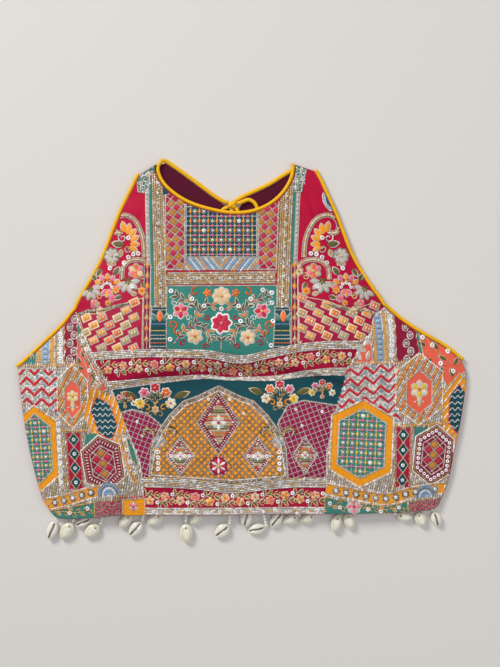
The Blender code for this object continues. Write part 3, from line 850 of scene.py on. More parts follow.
# %% Piping
EASING_ROUNDS = 8
PIPING_POINT_SPACING = 1.8


def eased(line):
    """Rounds off a corner where two panels' edges meet, as a cord does by itself."""
    line = line.copy()
    for _ in range(EASING_ROUNDS):
        line[1:-1] = line[1:-1] * 0.5 + (line[:-2] + line[2:]) * 0.25
    return line


def piping_path(line, floor):
    high = np.maximum(floor + PIPING_RADIUS, rise(line[:, 0], line[:, 1]) + CLOTH / 2)
    return np.column_stack([line, high])


turned_over = np.vstack([[OUTLINES["neckline"][0]], beside(neck, PIPING_INSET),
                         [OUTLINES["neckline"][-1]]])
piping_lines = {
    "piping_neck": (turned_over, CLOTH + GAP),
    "piping_armhole_left": (beside(np.vstack([under["left"][:-1], upper["left"]]), PIPING_INSET), 0.0),
    "piping_armhole_right": (beside(np.vstack([under["right"][:-1], upper["right"]]),
                                    -PIPING_INSET), 0.0),
}
for name, (line, floor) in piping_lines.items():
    path = piping_path(eased(evenly(line, PIPING_POINT_SPACING)), floor)
    mesh = tube_mesh(name, path, rumpled(path, PIPING_RADIUS, 0.04), 14)
    piece("roll_" + name, mesh, yellow_satin, [name])
    print(f"{name}: {lengths(path)[-1]:.0f} mm")

# %% [markdown]
# ## The cowrie shells
# A cowrie is an egg with a flat base and a toothed slit along it. Lying back up it shows a smooth dome
# with a faint yellow ring, and slit up it shows the pale lips and the teeth. A sphere has the right
# topology for both: its vertices are pushed in along the slit, and the teeth are small waves there.

# %% Cowries
SHELL_HEIGHT = 6.8
SHELLS = [
    # x, y, length, width, turn in degrees, slit up, strand's x
    (-191.2, -180.8, 19.5, 10.8, -18, True, -185.5),
    (-176.4, -181.2, 19.5, 12.6, -34.5, False, -168.5),
    (-160, -172.2, 17.5, 8.8, -62, True, -150),
    (-151, -181.2, 18.2, 12.4, -52, False, -139.4),
    (-117.4, -170.8, 17.5, 10.8, -37, False, -111.3),
    (-107.2, -179.4, 18.5, 12, -39, True, -98.5),
    (-87.8, -169.4, 17.9, 12.4, -53, False, -79.5),
    (-55.8, -183.8, 19.9, 13.2, 3, False, -56.3),
    (-46.3, -168.2, 15.6, 10.8, -39, False, -41),
    (-20.1, -181.3, 17.7, 12.8, -48.5, True, -11.9),
    (4.3, -168.4, 17.5, 12.6, -7, True, 5.7),
    (14.8, -179.4, 17.6, 11, -73, True, 21.3),
    (34.6, -170, 18, 11.2, -33, True, 40),
    (49.2, -169.5, 15.5, 10.6, -64, False, 58.5),
    (66, -168.4, 15.5, 10.6, -67, False, 76),
    (95, -173.8, 19.2, 10.4, -14, False, 98.6),
    (108.4, -171.4, 17.6, 11.2, 14, False, 105.2),
    (164.2, -166.6, 16.2, 10.6, 78, False, 153),
    (180.2, -169.6, 15.8, 11.4, 24, False, 175.6),
    (195.8, -169.4, 15, 10, 22, True, 190.6),
]


SLIT_DEPTH = 1.7
SLIT_HALF_WIDTH = 0.85
TEETH_DEPTH = 0.45
TEETH_REACH = 2.1
TEETH_TURN = 5.2  # radians of their wave for each millimetre
YELLOW_RING = 0.68
RING_RIDGE = 0.18
HOLE_DEPTH = 0.7
HOLE_RADIUS = 1.3


def cowrie_finish():
    shader = Shader("cowrie_shell", Roughness=0.22, Coat_Weight=0.5, Coat_Roughness=0.12)
    mottle = shader.noise(shader.uv(), 320.0, 3.0)
    body = shader.mix(mottle, srgb(226, 222, 202), srgb(250, 246, 232))
    body = shader.mix(shader.attribute("ring"), body, srgb(196, 186, 112))
    # Painted shade: dark brown in the slit and in the hole of a cut back, for the shade of the shell's
    # hollow, which the solid mesh lacks.
    shader.set(Base_Color=shader.mix(shader.attribute("shaded_opening"), body, srgb(84, 62, 44)))
    return shader.material


def cowrie_mesh(name, x, y, length, width, degrees, slit_up):
    bm = bmesh.new()
    bmesh.ops.create_uvsphere(bm, u_segments=40, v_segments=28, radius=1.0)
    mesh = mesh_of(name, bm)
    ball = np.array([vert.co for vert in mesh.vertices])
    across, along, up = ball[:, 0], ball[:, 2], ball[:, 1]
    fat = 1.0 + 0.16 * along - 0.10 * along ** 2
    away = across * fat * width / 2
    lengthwise = along * length / 2
    lump = 1.0 + 0.03 * np.sin(along * 4.0 + x) + 0.02 * np.cos(across * 5.0 + y)
    high = up * SHELL_HEIGHT / 2 * lump
    # The opening's mask: the groove of the slit, or the hole in a cut back. It dents the shell and marks
    # where dark shade is painted.
    shaded_opening = np.zeros(len(ball))
    ring = np.zeros(len(ball))
    if slit_up:
        bend = away - 0.5 * np.sin(along * 2.4)
        reach = smooth_step((0.93 - np.abs(along)) * 5.0)
        groove = np.exp(-(bend / SLIT_HALF_WIDTH) ** 2) * reach * (up > 0)
        teeth = np.exp(-(bend / TEETH_REACH) ** 2) * reach * (up > 0) * (1 - groove)
        high -= SLIT_DEPTH * groove + TEETH_DEPTH * teeth * (0.5 + 0.5 * np.sin(lengthwise * TEETH_TURN))
        shaded_opening = np.clip(groove * 1.25, 0, 1)
    else:
        from_middle = np.hypot(across * 1.15, along * 0.95)
        ring = 0.7 * np.exp(-((from_middle - YELLOW_RING) / 0.09) ** 2) * (up > 0)
        high += RING_RIDGE * np.exp(-((from_middle - 0.70) / 0.10) ** 2) * (up > 0)
        from_hole = np.hypot(away, lengthwise - length * 0.28)
        shaded_opening = smooth_step((HOLE_RADIUS - from_hole) / 0.7) * (up > 0)
        high -= HOLE_DEPTH * shaded_opening
    high = np.maximum(high, -SHELL_HEIGHT / 2)
    turn = math.radians(degrees)
    spots = np.column_stack([x + away * math.cos(turn) - lengthwise * math.sin(turn),
                             y + away * math.sin(turn) + lengthwise * math.cos(turn),
                             SHELL_HEIGHT / 2 + high])
    shaped(mesh, spots, np.column_stack([away, lengthwise]))
    for attribute, values in (("shaded_opening", shaded_opening), ("ring", ring)):
        mesh.attributes.new(attribute, "FLOAT", "POINT").data.foreach_set("value", values)
    with edited(mesh) as bm:
        bmesh.ops.recalc_face_normals(bm, faces=bm.faces)
    return mesh


cowrie = cowrie_finish()
for number, (x, y, length, width, degrees, slit_up, root_x) in enumerate(SHELLS, 1):
    name = f"cowrie_{number:02d}"
    piece("shell_" + name, cowrie_mesh(name, x, y, length, width, degrees, slit_up), cowrie,
          [name])
print(len(SHELLS), "shells")

# %% [markdown]
# ## The beads
# Each shell hangs on a thread of glass beads. The beads are small spheres set along the strand at equal
# steps, on a thin tube for the thread. The strand starts under the hem, where it is sewn on.

# %% Strands of beads
BEAD_RADIUS = 1.3
BEAD_PLUMP = 1.35
THREAD_RADIUS = 0.4
THREAD_LEAD = 1.2
BEAD_PITCH = 3.4
ROOT_INSIDE = 1.6


def bead_glass():
    shader = Shader("glass_bead", Roughness=0.15, Coat_Weight=0.6, Coat_Roughness=0.05)
    cloud = shader.noise(shader.uv(), 500.0)
    shader.set(Base_Color=shader.mix(cloud, srgb(232, 232, 220), srgb(252, 252, 246)))
    return shader.material


def strand_mesh(name, tip, lead, root):
    mesh = tube_mesh(name, np.vstack([tip, lead, root]), THREAD_RADIUS, 6)
    count = max(1, round(np.linalg.norm(root - lead) / BEAD_PITCH))
    with edited(mesh) as bm:
        for bead in range(count):
            spot = to_frame([lead + (root - lead) * (bead + 0.5) / count])[0]
            ball = bmesh.ops.create_uvsphere(bm, u_segments=12, v_segments=8, radius=BEAD_RADIUS * MM)
            bmesh.ops.scale(bm, vec=(BEAD_PLUMP, BEAD_PLUMP, 1.0), verts=ball["verts"])
            bmesh.ops.translate(bm, vec=spot, verts=ball["verts"])
        map_from_above(bm)
    return mesh, count


glass = bead_glass()
bead_count = 0
for number, (x, y, length, width, degrees, slit_up, root_x) in enumerate(SHELLS, 1):
    turn = math.radians(degrees)
    way = np.array((-math.sin(turn), math.cos(turn), 0.0))
    tip = np.array((x, y, SHELL_HEIGHT / 2)) + way * (length / 2 - GAP)
    lead = tip + way * (THREAD_LEAD + 2 * GAP)
    hem_y = np.interp(root_x, LINES["hem"][:, 0], LINES["hem"][:, 1])
    root_y = max(hem_y + ROOT_INSIDE, lead[1] + BEAD_PITCH)
    under_cloth = float(rise(np.array([root_x]), np.array([root_y]))[0])
    root = np.array((root_x, root_y, under_cloth - GAP - BEAD_RADIUS))
    lead[2] = min(lead[2], root[2])
    name = f"beads_{number:02d}"
    mesh, count = strand_mesh(name, tip, lead, root)
    bead_count += count
    piece("strand_" + name, mesh, glass, [name])
print(bead_count, "beads")

# %% [markdown]
# ## Laying work on the cloth
# Hand embroidery is thousands of small things sewn to one cloth: stitches, padded petals, cut tiles,
# sequins. Making an object for each would be slow, so a `Layer` gathers flat arrays. A small unit made
# with bmesh is copied, turned and sized for each place, and at the end one mesh is built. Each vertex
# takes the cloth's height at its own spot, so that the work follows every fold.

# %% Where the work may lie
rng = np.random.default_rng(11)
UNEVEN_DYE = 0.07
DYE_LIMITS = (0.75, 1.25)
EDGE_MARGIN = 0.4
STITCH_MARGIN = 1.3


def inside(spots, outline):
    """Which spots lie inside a closed outline, by counting the sides that a line to them crosses."""
    outline = np.array(outline, float)
    hit = np.zeros(len(spots), bool)
    low, high = outline.min(axis=0), outline.max(axis=0)
    near = np.flatnonzero(((spots >= low) & (spots <= high)).all(axis=1))
    if not len(near):
        return hit
    x, y = spots[near].T
    for (ax, ay), (bx, by) in zip(outline, np.roll(outline, -1, axis=0)):
        if ay == by:
            continue
        hit[near] ^= ((ay > y) != (by > y)) & (x < (bx - ax) * (y - ay) / (by - ay) + ax)
    return hit


COVERED = []
COVER_STEP = 0.06


def level_at(spots):
    """How many fills lie on top of each other at each spot."""
    level = np.zeros(len(spots))
    for outline, height in COVERED:
        level = np.where(inside(spots, outline), np.maximum(level, height), level)
    return level


def cover(outline):
    """Notes a new fill, and gives the level that it lies on."""
    outline = np.array(outline, float)
    probes = np.vstack([evenly(np.vstack([outline, outline[:1]]), 4.0), outline.mean(axis=0)])
    level = 0
    for other, height in COVERED:
        if height >= level and (inside(probes, other).any() or inside(other, outline).any()):
            level = height + 1
    COVERED.append((outline, level))
    return level


whole_edge = np.vstack([hem_between(sides["left"][0], sides["right"][0], 160)[:-1],
                        sides["right"][:-1], under["right"], upper["right"][:-1],
                        straps["right"], neck[::-1][1:], straps["left"][::-1][1:],
                        upper["left"][::-1][1:], under["left"][::-1], sides["left"][::-1][1:-1]])
CLOTH_EDGE = beside(whole_edge, EDGE_MARGIN)
CLOTH_EDGE_FINE = evenly(CLOTH_EDGE, 0.4)
CLOTH_EDGE_INSET = beside(whole_edge, STITCH_MARGIN)
print("points round the front:", len(whole_edge))

# %% Layers and units
class Unit:
    """A small shape, one millimetre across and high, that runs along +Y."""

    def __init__(self, bm):
        bm.verts.index_update()
        co = np.array([vert.co for vert in bm.verts])
        self.flat, self.high = co[:, :2], co[:, 2]
        self.corners = np.array([vert.index for face in bm.faces for vert in face.verts])
        self.sizes = np.array([len(face.verts) for face in bm.faces])
        bm.free()


class Layer:
    """Pieces of work of one finish, laid on the cloth and joined into one mesh."""

    def __init__(self, name, finish):
        self.name, self.finish = name, finish
        self.flat, self.high, self.map, self.shade = [], [], [], []
        self.corners, self.sizes, self.count = [], [], 0
        self.jobs = {}

    def add(self, flat, high, corners, sizes, mapped, shade):
        self.flat.append(flat)
        self.high.append(high)
        self.map.append(mapped)
        self.shade.append(shade)
        self.corners.append(corners + self.count)
        self.sizes.append(sizes)
        self.count += len(flat)

    def copies(self, unit, spots, turns, size, thread, lift):
        """Asks for the unit at each spot, turned in degrees, as (width, length, height)."""
        spots = np.atleast_2d(np.array(spots, float))
        count = len(spots)
        if count and spots.size:
            columns = (spots, np.broadcast_to(turns, (count,))[:, None],
                       np.broadcast_to(np.array(size, float), (count, 3)),
                       np.broadcast_to(np.array(thread, float), (count, 3)),
                       np.full((count, 1), lift))
            self.jobs.setdefault(unit, []).append(np.hstack(columns))

    def clear(self, outline):
        """Drops the copies that a new fill would cover."""
        for rows in self.jobs.values():
            rows[:] = [spots[~inside(spots[:, :2], outline)] for spots in rows]

    def expand(self):
        """Makes the copies that were asked for, apart from those that would hang over an edge."""
        for unit, rows in self.jobs.items():
            rows = np.vstack(rows)
            rows = rows[inside(rows[:, :2], CLOTH_EDGE_INSET)]
            spots, turns, size, thread, lift = np.split(rows, (2, 3, 6, 9), axis=1)
            thread = thread * rng.normal(1.0, UNEVEN_DYE, (len(rows), 1)).clip(*DYE_LIMITS)
            lift = lift + COVER_STEP * level_at(spots)[:, None]
            count, each = len(rows), len(unit.flat)
            local = unit.flat[None] * size[:, None, :2]
            cos, sin = np.cos(np.radians(turns)), np.sin(np.radians(turns))
            flat = np.stack([spots[:, :1] + local[..., 0] * cos - local[..., 1] * sin,
                             spots[:, 1:2] + local[..., 0] * sin + local[..., 1] * cos], axis=-1)
            high = unit.high[None] * size[:, 2:] + lift
            corners = (unit.corners[None] + each * np.arange(count)[:, None]).ravel()
            self.add(flat.reshape(-1, 2), high.ravel(), corners, np.tile(unit.sizes, count),
                     local.reshape(-1, 2), np.repeat(thread, each, axis=0))

    def build(self):
        self.expand()
        flat, high = np.vstack(self.flat), np.concatenate(self.high)
        corners, sizes = np.concatenate(self.corners), np.concatenate(self.sizes)
        mesh = bpy.data.meshes.new(self.name)
        mesh.vertices.add(len(flat))
        spots = np.column_stack([flat, top(flat[:, 0], flat[:, 1]) + high])
        mesh.vertices.foreach_set("co", to_frame(spots).ravel())
        mesh.loops.add(len(corners))
        mesh.loops.foreach_set("vertex_index", corners)
        mesh.polygons.add(len(sizes))
        mesh.polygons.foreach_set("loop_start", np.concatenate([[0], np.cumsum(sizes)[:-1]]))
        mesh.update(calc_edges=True)
        mesh.uv_layers.new(name="UVMap").uv.foreach_set(
            "vector", (np.vstack(self.map)[corners] * MM).ravel())
        shade = np.column_stack([np.vstack(self.shade), np.ones(len(flat))])
        mesh.color_attributes.new("thread", "FLOAT_COLOR", "POINT").data.foreach_set(
            "color", shade.ravel())
        triangles = int((sizes - 2).sum())
        print(f"{self.name}: {len(sizes)} faces, {triangles} triangles")
        return piece(self.name, mesh, self.finish)


print("layers can be filled and built")

# %% [markdown]
# The units are few: a stitch, a padded petal, a leaf, a ring for a sequin, a square tile, a block and a
# knot. Each is made with bmesh's operators at a size of about one millimetre.

# %% Small units
def stitch_unit():
    """An eight-sided lens, for a single stitch or a short length of cord."""
    bm = bmesh.new()
    bmesh.ops.create_uvsphere(bm, u_segments=4, v_segments=2, radius=0.5)
    bmesh.ops.rotate(bm, matrix=Matrix.Rotation(math.radians(90), 3, "X"), verts=bm.verts)
    return Unit(bm)


def petal_unit(roundness):
    """A padded leaf, from its stalk at the spot to its tip; a rounder one is a petal."""
    bm = bmesh.new()
    bmesh.ops.create_grid(bm, x_segments=4, y_segments=6, size=0.5)
    for vert in bm.verts:
        along = vert.co.y + 0.5
        across = 2 * vert.co.x
        width = math.sin(math.pi * along ** roundness) ** 0.7 if 0.001 < along < 0.999 else 0.0
        vert.co = (across / 2 * width, along, (1.0 - across * across) * (0.35 + 0.65 * width) * 0.5)
    bmesh.ops.remove_doubles(bm, verts=bm.verts, dist=1e-4)
    bmesh.ops.recalc_face_normals(bm, faces=bm.faces)
    return Unit(bm)


def face_up(bm):
    bmesh.ops.recalc_face_normals(bm, faces=bm.faces)
    bm.normal_update()
    if sum(face.normal.z for face in bm.faces) < 0:
        bmesh.ops.reverse_faces(bm, faces=bm.faces)


RING_PROFILE = [(0.5, 0.0), (0.42, 0.55), (0.26, 0.6), (0.17, 0.1)]


def ring_unit():
    """A sequin with a wide rim round its hole: a circle spun into a low ring."""
    bm = bmesh.new()
    profile = [bm.verts.new((out, 0, high)) for out, high in RING_PROFILE]
    for start, end in zip(profile, profile[1:]):
        bm.edges.new((start, end))
    bmesh.ops.spin(bm, geom=bm.verts[:] + bm.edges[:], axis=(0, 0, 1), cent=(0, 0, 0), steps=14,
                   angle=2 * math.pi, use_merge=True, use_duplicate=False)
    face_up(bm)
    return Unit(bm)


TILE_BEVEL = 0.76


def tile_unit(radius=0.5, turn=0.0):
    """A padded square with bevelled sides, on its corner or, turned, on its side."""
    bm = bmesh.new()
    bmesh.ops.create_cone(bm, cap_ends=True, segments=4, radius1=radius, radius2=radius * TILE_BEVEL,
                          depth=0.5)
    bmesh.ops.rotate(bm, matrix=Matrix.Rotation(math.radians(turn), 3, "Z"), verts=bm.verts)
    bmesh.ops.translate(bm, vec=(0.0, 0.0, 0.1), verts=bm.verts)
    return Unit(bm)


def ball_unit():
    bm = bmesh.new()
    bmesh.ops.create_icosphere(bm, subdivisions=1, radius=0.5)
    bmesh.ops.translate(bm, vec=(0.0, 0.0, 0.35), verts=bm.verts)
    return Unit(bm)


STITCH, PETAL, LEAF = stitch_unit(), petal_unit(1.5), petal_unit(0.9)
RING, TILE, BLOCK = ring_unit(), tile_unit(), tile_unit(math.sqrt(0.5), 45.0)
BALL = ball_unit()
print("faces of a stitch, a petal, a ring:", len(STITCH.sizes), len(PETAL.sizes), len(RING.sizes))

# %% [markdown]
# ## Threads and their finishes
# The embroiderer works with dull gold and silver metal thread, with silk floss and with spangles. The
# colour of each stitch is kept in an attribute of the mesh, so one material serves every colour, and
# only the gloss differs: floss is satiny and striped along the stitch, metal is bright and twisted, and
# spangles are mirror-like.

# %% Colours and finishes of the work
SILVER = srgb(208, 199, 188)
PALE_SILVER = srgb(248, 243, 235)
GREY = srgb(140, 126, 114)
DULL_SILVER = srgb(176, 165, 152)
ASH = srgb(196, 187, 177)
GOLD = srgb(222, 178, 104)
KHAKI = srgb(190, 160, 110)
MARIGOLD = srgb(250, 160, 12)
ORANGE = srgb(244, 110, 30)
CORAL = srgb(246, 104, 78)
PEACH = srgb(232, 196, 150)
PINK = srgb(238, 118, 146)
ROSE = srgb(206, 10, 62)
WINE = srgb(146, 4, 52)
CREAM = srgb(240, 226, 190)
LEMON = srgb(244, 206, 70)
TEAL = srgb(50, 134, 122)
SEA = srgb(62, 128, 116)
PETROL = srgb(2, 74, 84)
BLUE = srgb(0, 84, 150)
SKY = srgb(142, 172, 200)
OLIVE = srgb(96, 88, 30)
MOSS = srgb(64, 72, 28)
PLUM = srgb(158, 4, 74)
MIRROR = srgb(250, 250, 250)
SCARLET = srgb(222, 10, 48)
FLOSS_RED = srgb(196, 8, 52)
FLOSS_WINE = srgb(176, 4, 58)
OCHRE = srgb(200, 132, 22)
SILVERS = [PALE_SILVER, SILVER]


def floss_finish():
    shader = Shader("silk_floss", Roughness=0.5, Sheen_Weight=0.08)
    tone = shader.noise(shader.place(), 240.0, 3.0)
    strand = shader.wave(shader.uv(), 560.0, Distortion=0.6)
    # The strand waves that make the bump also lighten the colour on their crests and darken it between
    # them: painted shade.
    shader.dye(tone * 0.8 + strand * 0.2, (0.2, 0.8), (0.78, 1.16))
    shader.bump(strand, 0.0001, 0.6)
    return shader.material


def field_finish():
    """Rows of chain stitch that fill a shape, each row a slightly different shade."""
    shader = Shader("filled_rows", Roughness=0.62, Specular_IOR_Level=0.3)
    uv = shader.uv()
    long_rows = shader.node("ShaderNodeMapping", None, {"Vector": uv, "Scale": (0.16, 1.0, 1.0)})
    streak = shader.noise(long_rows, 900.0)
    rows = shader.wave(uv, 240.0, "Y", Distortion=1.0, Detail_Scale=2.0)
    grain = shader.noise(uv, 1100.0)
    # The rows and the grain that make the bump also darken the colour in its dips: painted shade between
    # the rows. The long streaks are each row's own tone.
    shader.dye(streak * 0.6 + rows * 0.25 + grain * 0.15, (0.25, 0.75), (0.72, 1.18))
    shader.bump(rows + grain * 0.6, 0.00016, 0.7)
    return shader.material


def metal_finish():
    shader = Shader("metal_thread", Metallic=0.25, Roughness=0.36)
    shader.dye(shader.noise(shader.place(), 420.0, 3.0), (0.3, 0.7), (0.72, 1.3))
    shader.bump(shader.wave(shader.uv(), 420.0, "DIAGONAL"), 0.0001, 0.6)
    return shader.material


def spangle_finish():
    shader = Shader("spangle", Metallic=0.1, Roughness=0.2, Coat_Weight=0.4, Coat_Roughness=0.05)
    shader.dye(shader.noise(shader.place(), 300.0), (0.3, 0.7), (0.85, 1.15))
    return shader.material


floss, rows_of_chain = floss_finish(), field_finish()
metal, shiny = metal_finish(), spangle_finish()
fields = Layer("embroidered_grounds", rows_of_chain)
silk = Layer("silk_stitches", floss)
padded_work = Layer("padded_petals_and_leaves", floss)
cords = Layer("metal_cords", metal)
fine_cords = Layer("fine_metal_stitches", metal)
spangles = Layer("spangles_and_rings", shiny)
print("layers ready")

# %% [markdown]
# ## The embroiderer's moves
# Every motif is built from a few moves: fill a shape, couch a cord along a line, set a row of stitches,
# hatch a shape with crossing cords, lay tiles, sew on rings. A fill is a flat face cut along a fine
# grid, so that it drapes. Lines are clipped to a shape by testing many points along them.

# %% Fills and rows
FIELD_LIFT = 0.22
FIELD_SQUARE = 2.4
CORD_LIFT = 0.35
CORD_PITCH = 1.7
CORD_SLANT = 14.0
CORD_OVERLAP = 1.75
HATCH_LIFT = 0.45
UNEVEN_TURN = 3.0


def trim(bm):
    """Takes away what lies past the cloth's edge, and moves the last row of vertices onto it."""
    spots = np.array([vert.co[:2] for vert in bm.verts])
    hit = inside(spots, CLOTH_EDGE)
    if hit.all():
        return
    out = {vert for vert, within in zip(bm.verts, hit) if not within}
    stray = [face for face in bm.faces if all(vert in out for vert in face.verts)]
    bmesh.ops.delete(bm, geom=stray, context="FACES")
    for vert in out:
        if vert.is_valid:
            apart = CLOTH_EDGE_FINE - np.array(vert.co[:2])
            vert.co.xy = CLOTH_EDGE_FINE[int(np.argmin((apart ** 2).sum(axis=1)))]


def fill(outline, thread, turn=0.0, square=FIELD_SQUARE):
    """A shape filled with rows of stitches that run at a turn, in degrees."""
    bm = bmesh.new()
    bm.faces.new([bm.verts.new((x, y, 0.0)) for x, y in outline])
    cut_in_squares(bm, square)
    face_up(bm)
    trim(bm)
    if not bm.faces:
        return
    unit = Unit(bm)
    for layer in (silk, padded_work, cords, fine_cords, spangles):
        layer.clear(outline)
    lift = FIELD_LIFT + COVER_STEP * cover(outline)
    cos, sin = math.cos(math.radians(turn)), math.sin(math.radians(turn))
    mapped = np.column_stack([unit.flat[:, 0] * cos + unit.flat[:, 1] * sin,
                              unit.flat[:, 1] * cos - unit.flat[:, 0] * sin])
    fields.add(unit.flat, np.full(len(unit.flat), lift), unit.corners, unit.sizes, mapped,
               np.tile(thread, (len(unit.flat), 1)))


print("fills ready")

# %% [markdown]
# A cord is laid as short overlapping lengths, so that it catches the light like real twisted thread. A
# hatch is many such cords side by side, clipped to the shape.

# %% Cords, rows and hatching
def turns_of(line):
    """How far each point's direction is turned from +Y, in degrees."""
    ahead = headings(line)
    return np.degrees(np.arctan2(ahead[:, 1], ahead[:, 0])) - 90.0


def couch(line, thread, width=1.5, layer=None, pitch=CORD_PITCH, slant=CORD_SLANT, lift=CORD_LIFT,
          closed=False, overlap=CORD_OVERLAP):
    """A cord couched along a line, as overlapping short lengths with a slight slant."""
    line = np.array(line, float)
    if closed:
        line = np.vstack([line, line[:1]])
    line = evenly(line, pitch)
    if len(line) < 2:
        return
    spots = line + headings(line) * (pitch * rng.uniform(-0.5, 0.5))
    uneven = rng.normal(0.0, UNEVEN_TURN, len(line))
    (layer or cords).copies(STITCH, spots, turns_of(line) + slant + uneven,
                            (width, pitch * overlap, width * 0.8), mixed(thread, len(line)), lift)


def shades(thread, count):
    """A colour for each of so many stitches: one colour, or a turn through several."""
    thread = np.array(thread, float)
    if thread.ndim == 1:
        return np.tile(thread, (count, 1))
    return thread[np.arange(count) % len(thread)]


def mixed(thread, count):
    """A colour for each of so many stitches, picked from several at random."""
    thread = np.atleast_2d(thread)
    return thread[rng.integers(len(thread), size=count)]


def row(line, unit, pitch, size, thread, layer, lift=0.3, slant=0.0, closed=False):
    """Units set along a line at equal steps."""
    line = np.array(line, float)
    if closed:
        line = np.vstack([line, line[:1]])
    line = evenly(line, pitch)
    turns = turns_of(line) + slant if len(line) > 1 else slant
    layer.copies(unit, line, turns, size, shades(thread, len(line)), lift)


PROBE_STEP = 0.5


def clipped(start, end, outline):
    """The stretches of a straight line that lie inside a shape."""
    start, end = np.array(start, float), np.array(end, float)
    count = max(2, int(np.linalg.norm(end - start) / PROBE_STEP))
    spots = start + (end - start) * np.linspace(0, 1, count)[:, None]
    hit = np.concatenate([[False], inside(spots, outline), [False]])
    change = np.flatnonzero(hit[1:] != hit[:-1])
    return [spots[first:last] for first, last in zip(change[::2], change[1::2]) if last - first > 2]


def hatch(outline, pitch, degrees, thread, width=0.9, layer=None, cord_pitch=2.2, shift=0.0,
          overlap=CORD_OVERLAP):
    """Parallel cords across a shape at each of some angles."""
    outline = np.array(outline, float)
    middle = (outline.min(axis=0) + outline.max(axis=0)) / 2
    reach = np.linalg.norm(outline.max(axis=0) - outline.min(axis=0)) / 2 + pitch
    for angle in np.atleast_1d(degrees):
        turn = math.radians(angle)
        way = np.array((math.cos(turn), math.sin(turn)))
        aside = np.array((-math.sin(turn), math.cos(turn)))
        for step in np.arange(-math.ceil(reach / pitch), math.ceil(reach / pitch) + 1):
            origin = middle + aside * (step * pitch + shift)
            for stretch in clipped(origin - way * reach, origin + way * reach, outline):
                couch(stretch, thread, width, layer or fine_cords, cord_pitch, 0.0, HATCH_LIFT,
                      overlap=overlap)


def ribbon(line, width, thread):
    """A strip filled along a line."""
    heading = np.degrees(np.arctan2(*(line[-1] - line[0])[::-1]))
    fill(np.vstack([beside(line, width / 2), beside(line, -width / 2)[::-1]]), thread, heading)


print("cords and rows ready")

# %% [markdown]
# The small motifs are the ones that every embroiderer of this craft knows: rings, flowers, leaves and
# curled tendrils.

# %% Flowers, leaves and curls
def disc(x, y, radius, count=24, squash=1.0, turn=0.0):
    angle = np.linspace(0, 2 * math.pi, count, endpoint=False)
    lean = math.radians(turn)
    u, v = radius * np.cos(angle), radius * squash * np.sin(angle)
    return np.column_stack([x + u * math.cos(lean) - v * math.sin(lean),
                            y + u * math.sin(lean) + v * math.cos(lean)])


def rings(spots, size=4.6, lift=CORD_LIFT):
    spangles.copies(RING, spots, 0.0, (size, size, 1.3), MIRROR, lift)


def flower(x, y, radius, thread, heart, petals=6, turn=0.0, edge=None, width=0.62):
    """A flower of padded petals round a heart, with a couched edge where one is given."""
    angles = turn + 360.0 / petals * np.arange(petals)
    spots = np.tile((x, y), (petals, 1))
    if edge is not None:
        rim = (radius * (width + 0.22), radius * 1.16, 0.8)
        padded_work.copies(PETAL, spots, angles, rim, edge, 0.2)
    padded_work.copies(PETAL, spots, angles, (radius * width, radius, 1.2), shades(thread, petals), 0.35)
    heart_size = max(1.6, radius * 0.42)
    padded_work.copies(BALL, [(x, y)], 0.0, (heart_size, heart_size, 1.5), heart, 0.7)


def leaf(x, y, length, turn, thread=OLIVE, edge=SILVER, width=0.36):
    """A padded leaf, with a lighter edge where one is given."""
    if edge is not None:
        rim = (length * width + 1.5, length * 1.12, 0.7)
        padded_work.copies(LEAF, [(x, y)], turn, rim, edge, 0.15)
    padded_work.copies(LEAF, [(x, y)], turn, (length * width, length, 1.1), thread, 0.3)


def curl(x, y, radius, turn, thread, width, turns=1.15, hand=1, lift=CORD_LIFT):
    """A spiral of cord, as at the tip of a tendril."""
    share = np.linspace(0, 1, 30)
    angle = math.radians(turn) + hand * share * turns * 2 * math.pi
    reach = radius * (1 - 0.78 * share)
    couch(np.column_stack([x + reach * np.cos(angle), y + reach * np.sin(angle)]), thread, width,
          fine_cords, 1.3, lift=lift)


print("small motifs ready")

# %% [markdown]
# Counted patterns repeat in a cell. `nodes_in` gives the places of such a grid inside a shape, and the
# patterns set their tiles, crosses and cords at these places.

# %% Tiles and darned grids
def nodes_in(outline, cell, lean=0.0, shift=(0.0, 0.0), share=0.92):
    """Places of a grid, turned about the shape's middle, that lie well inside the shape."""
    outline = np.array(outline, float)
    middle = (outline.min(axis=0) + outline.max(axis=0)) / 2
    reach = np.abs(outline - middle).max() * 1.5
    steps = np.arange(-math.ceil(reach / min(cell)), math.ceil(reach / min(cell)) + 1)
    u, v = np.meshgrid(steps, steps)
    u, v = u.ravel() * cell[0] + shift[0], v.ravel() * cell[1] + shift[1]
    cos, sin = math.cos(math.radians(lean)), math.sin(math.radians(lean))
    spots = np.column_stack([middle[0] + u * cos - v * sin, middle[1] + u * sin + v * cos])
    return spots[inside(spots, middle + (outline - middle) * share)]


def tiled(outline, cell, threads, net, net_width, share, ground, lean=0.0):
    """Satin tiles on their corners, in two kinds that take turns, under a net of cord."""
    wide, long = cell
    fill(outline, ground, lean)
    for thread, shift in zip(threads, ((0.0, 0.0), (wide / 2, long / 2))):
        spots = nodes_in(outline, cell, lean, shift)
        padded_work.copies(TILE, spots, lean, (wide * share, long * share, 1.1),
                           shades(thread, len(spots)), 0.25)
    angle = math.degrees(math.atan2(long, wide))
    pitch = wide * long / math.hypot(wide, long)
    hatch(outline, pitch, (angle + lean, 180 - angle + lean), net, net_width, shift=pitch / 2)
    couch(outline, net, net_width * 1.3, closed=True)


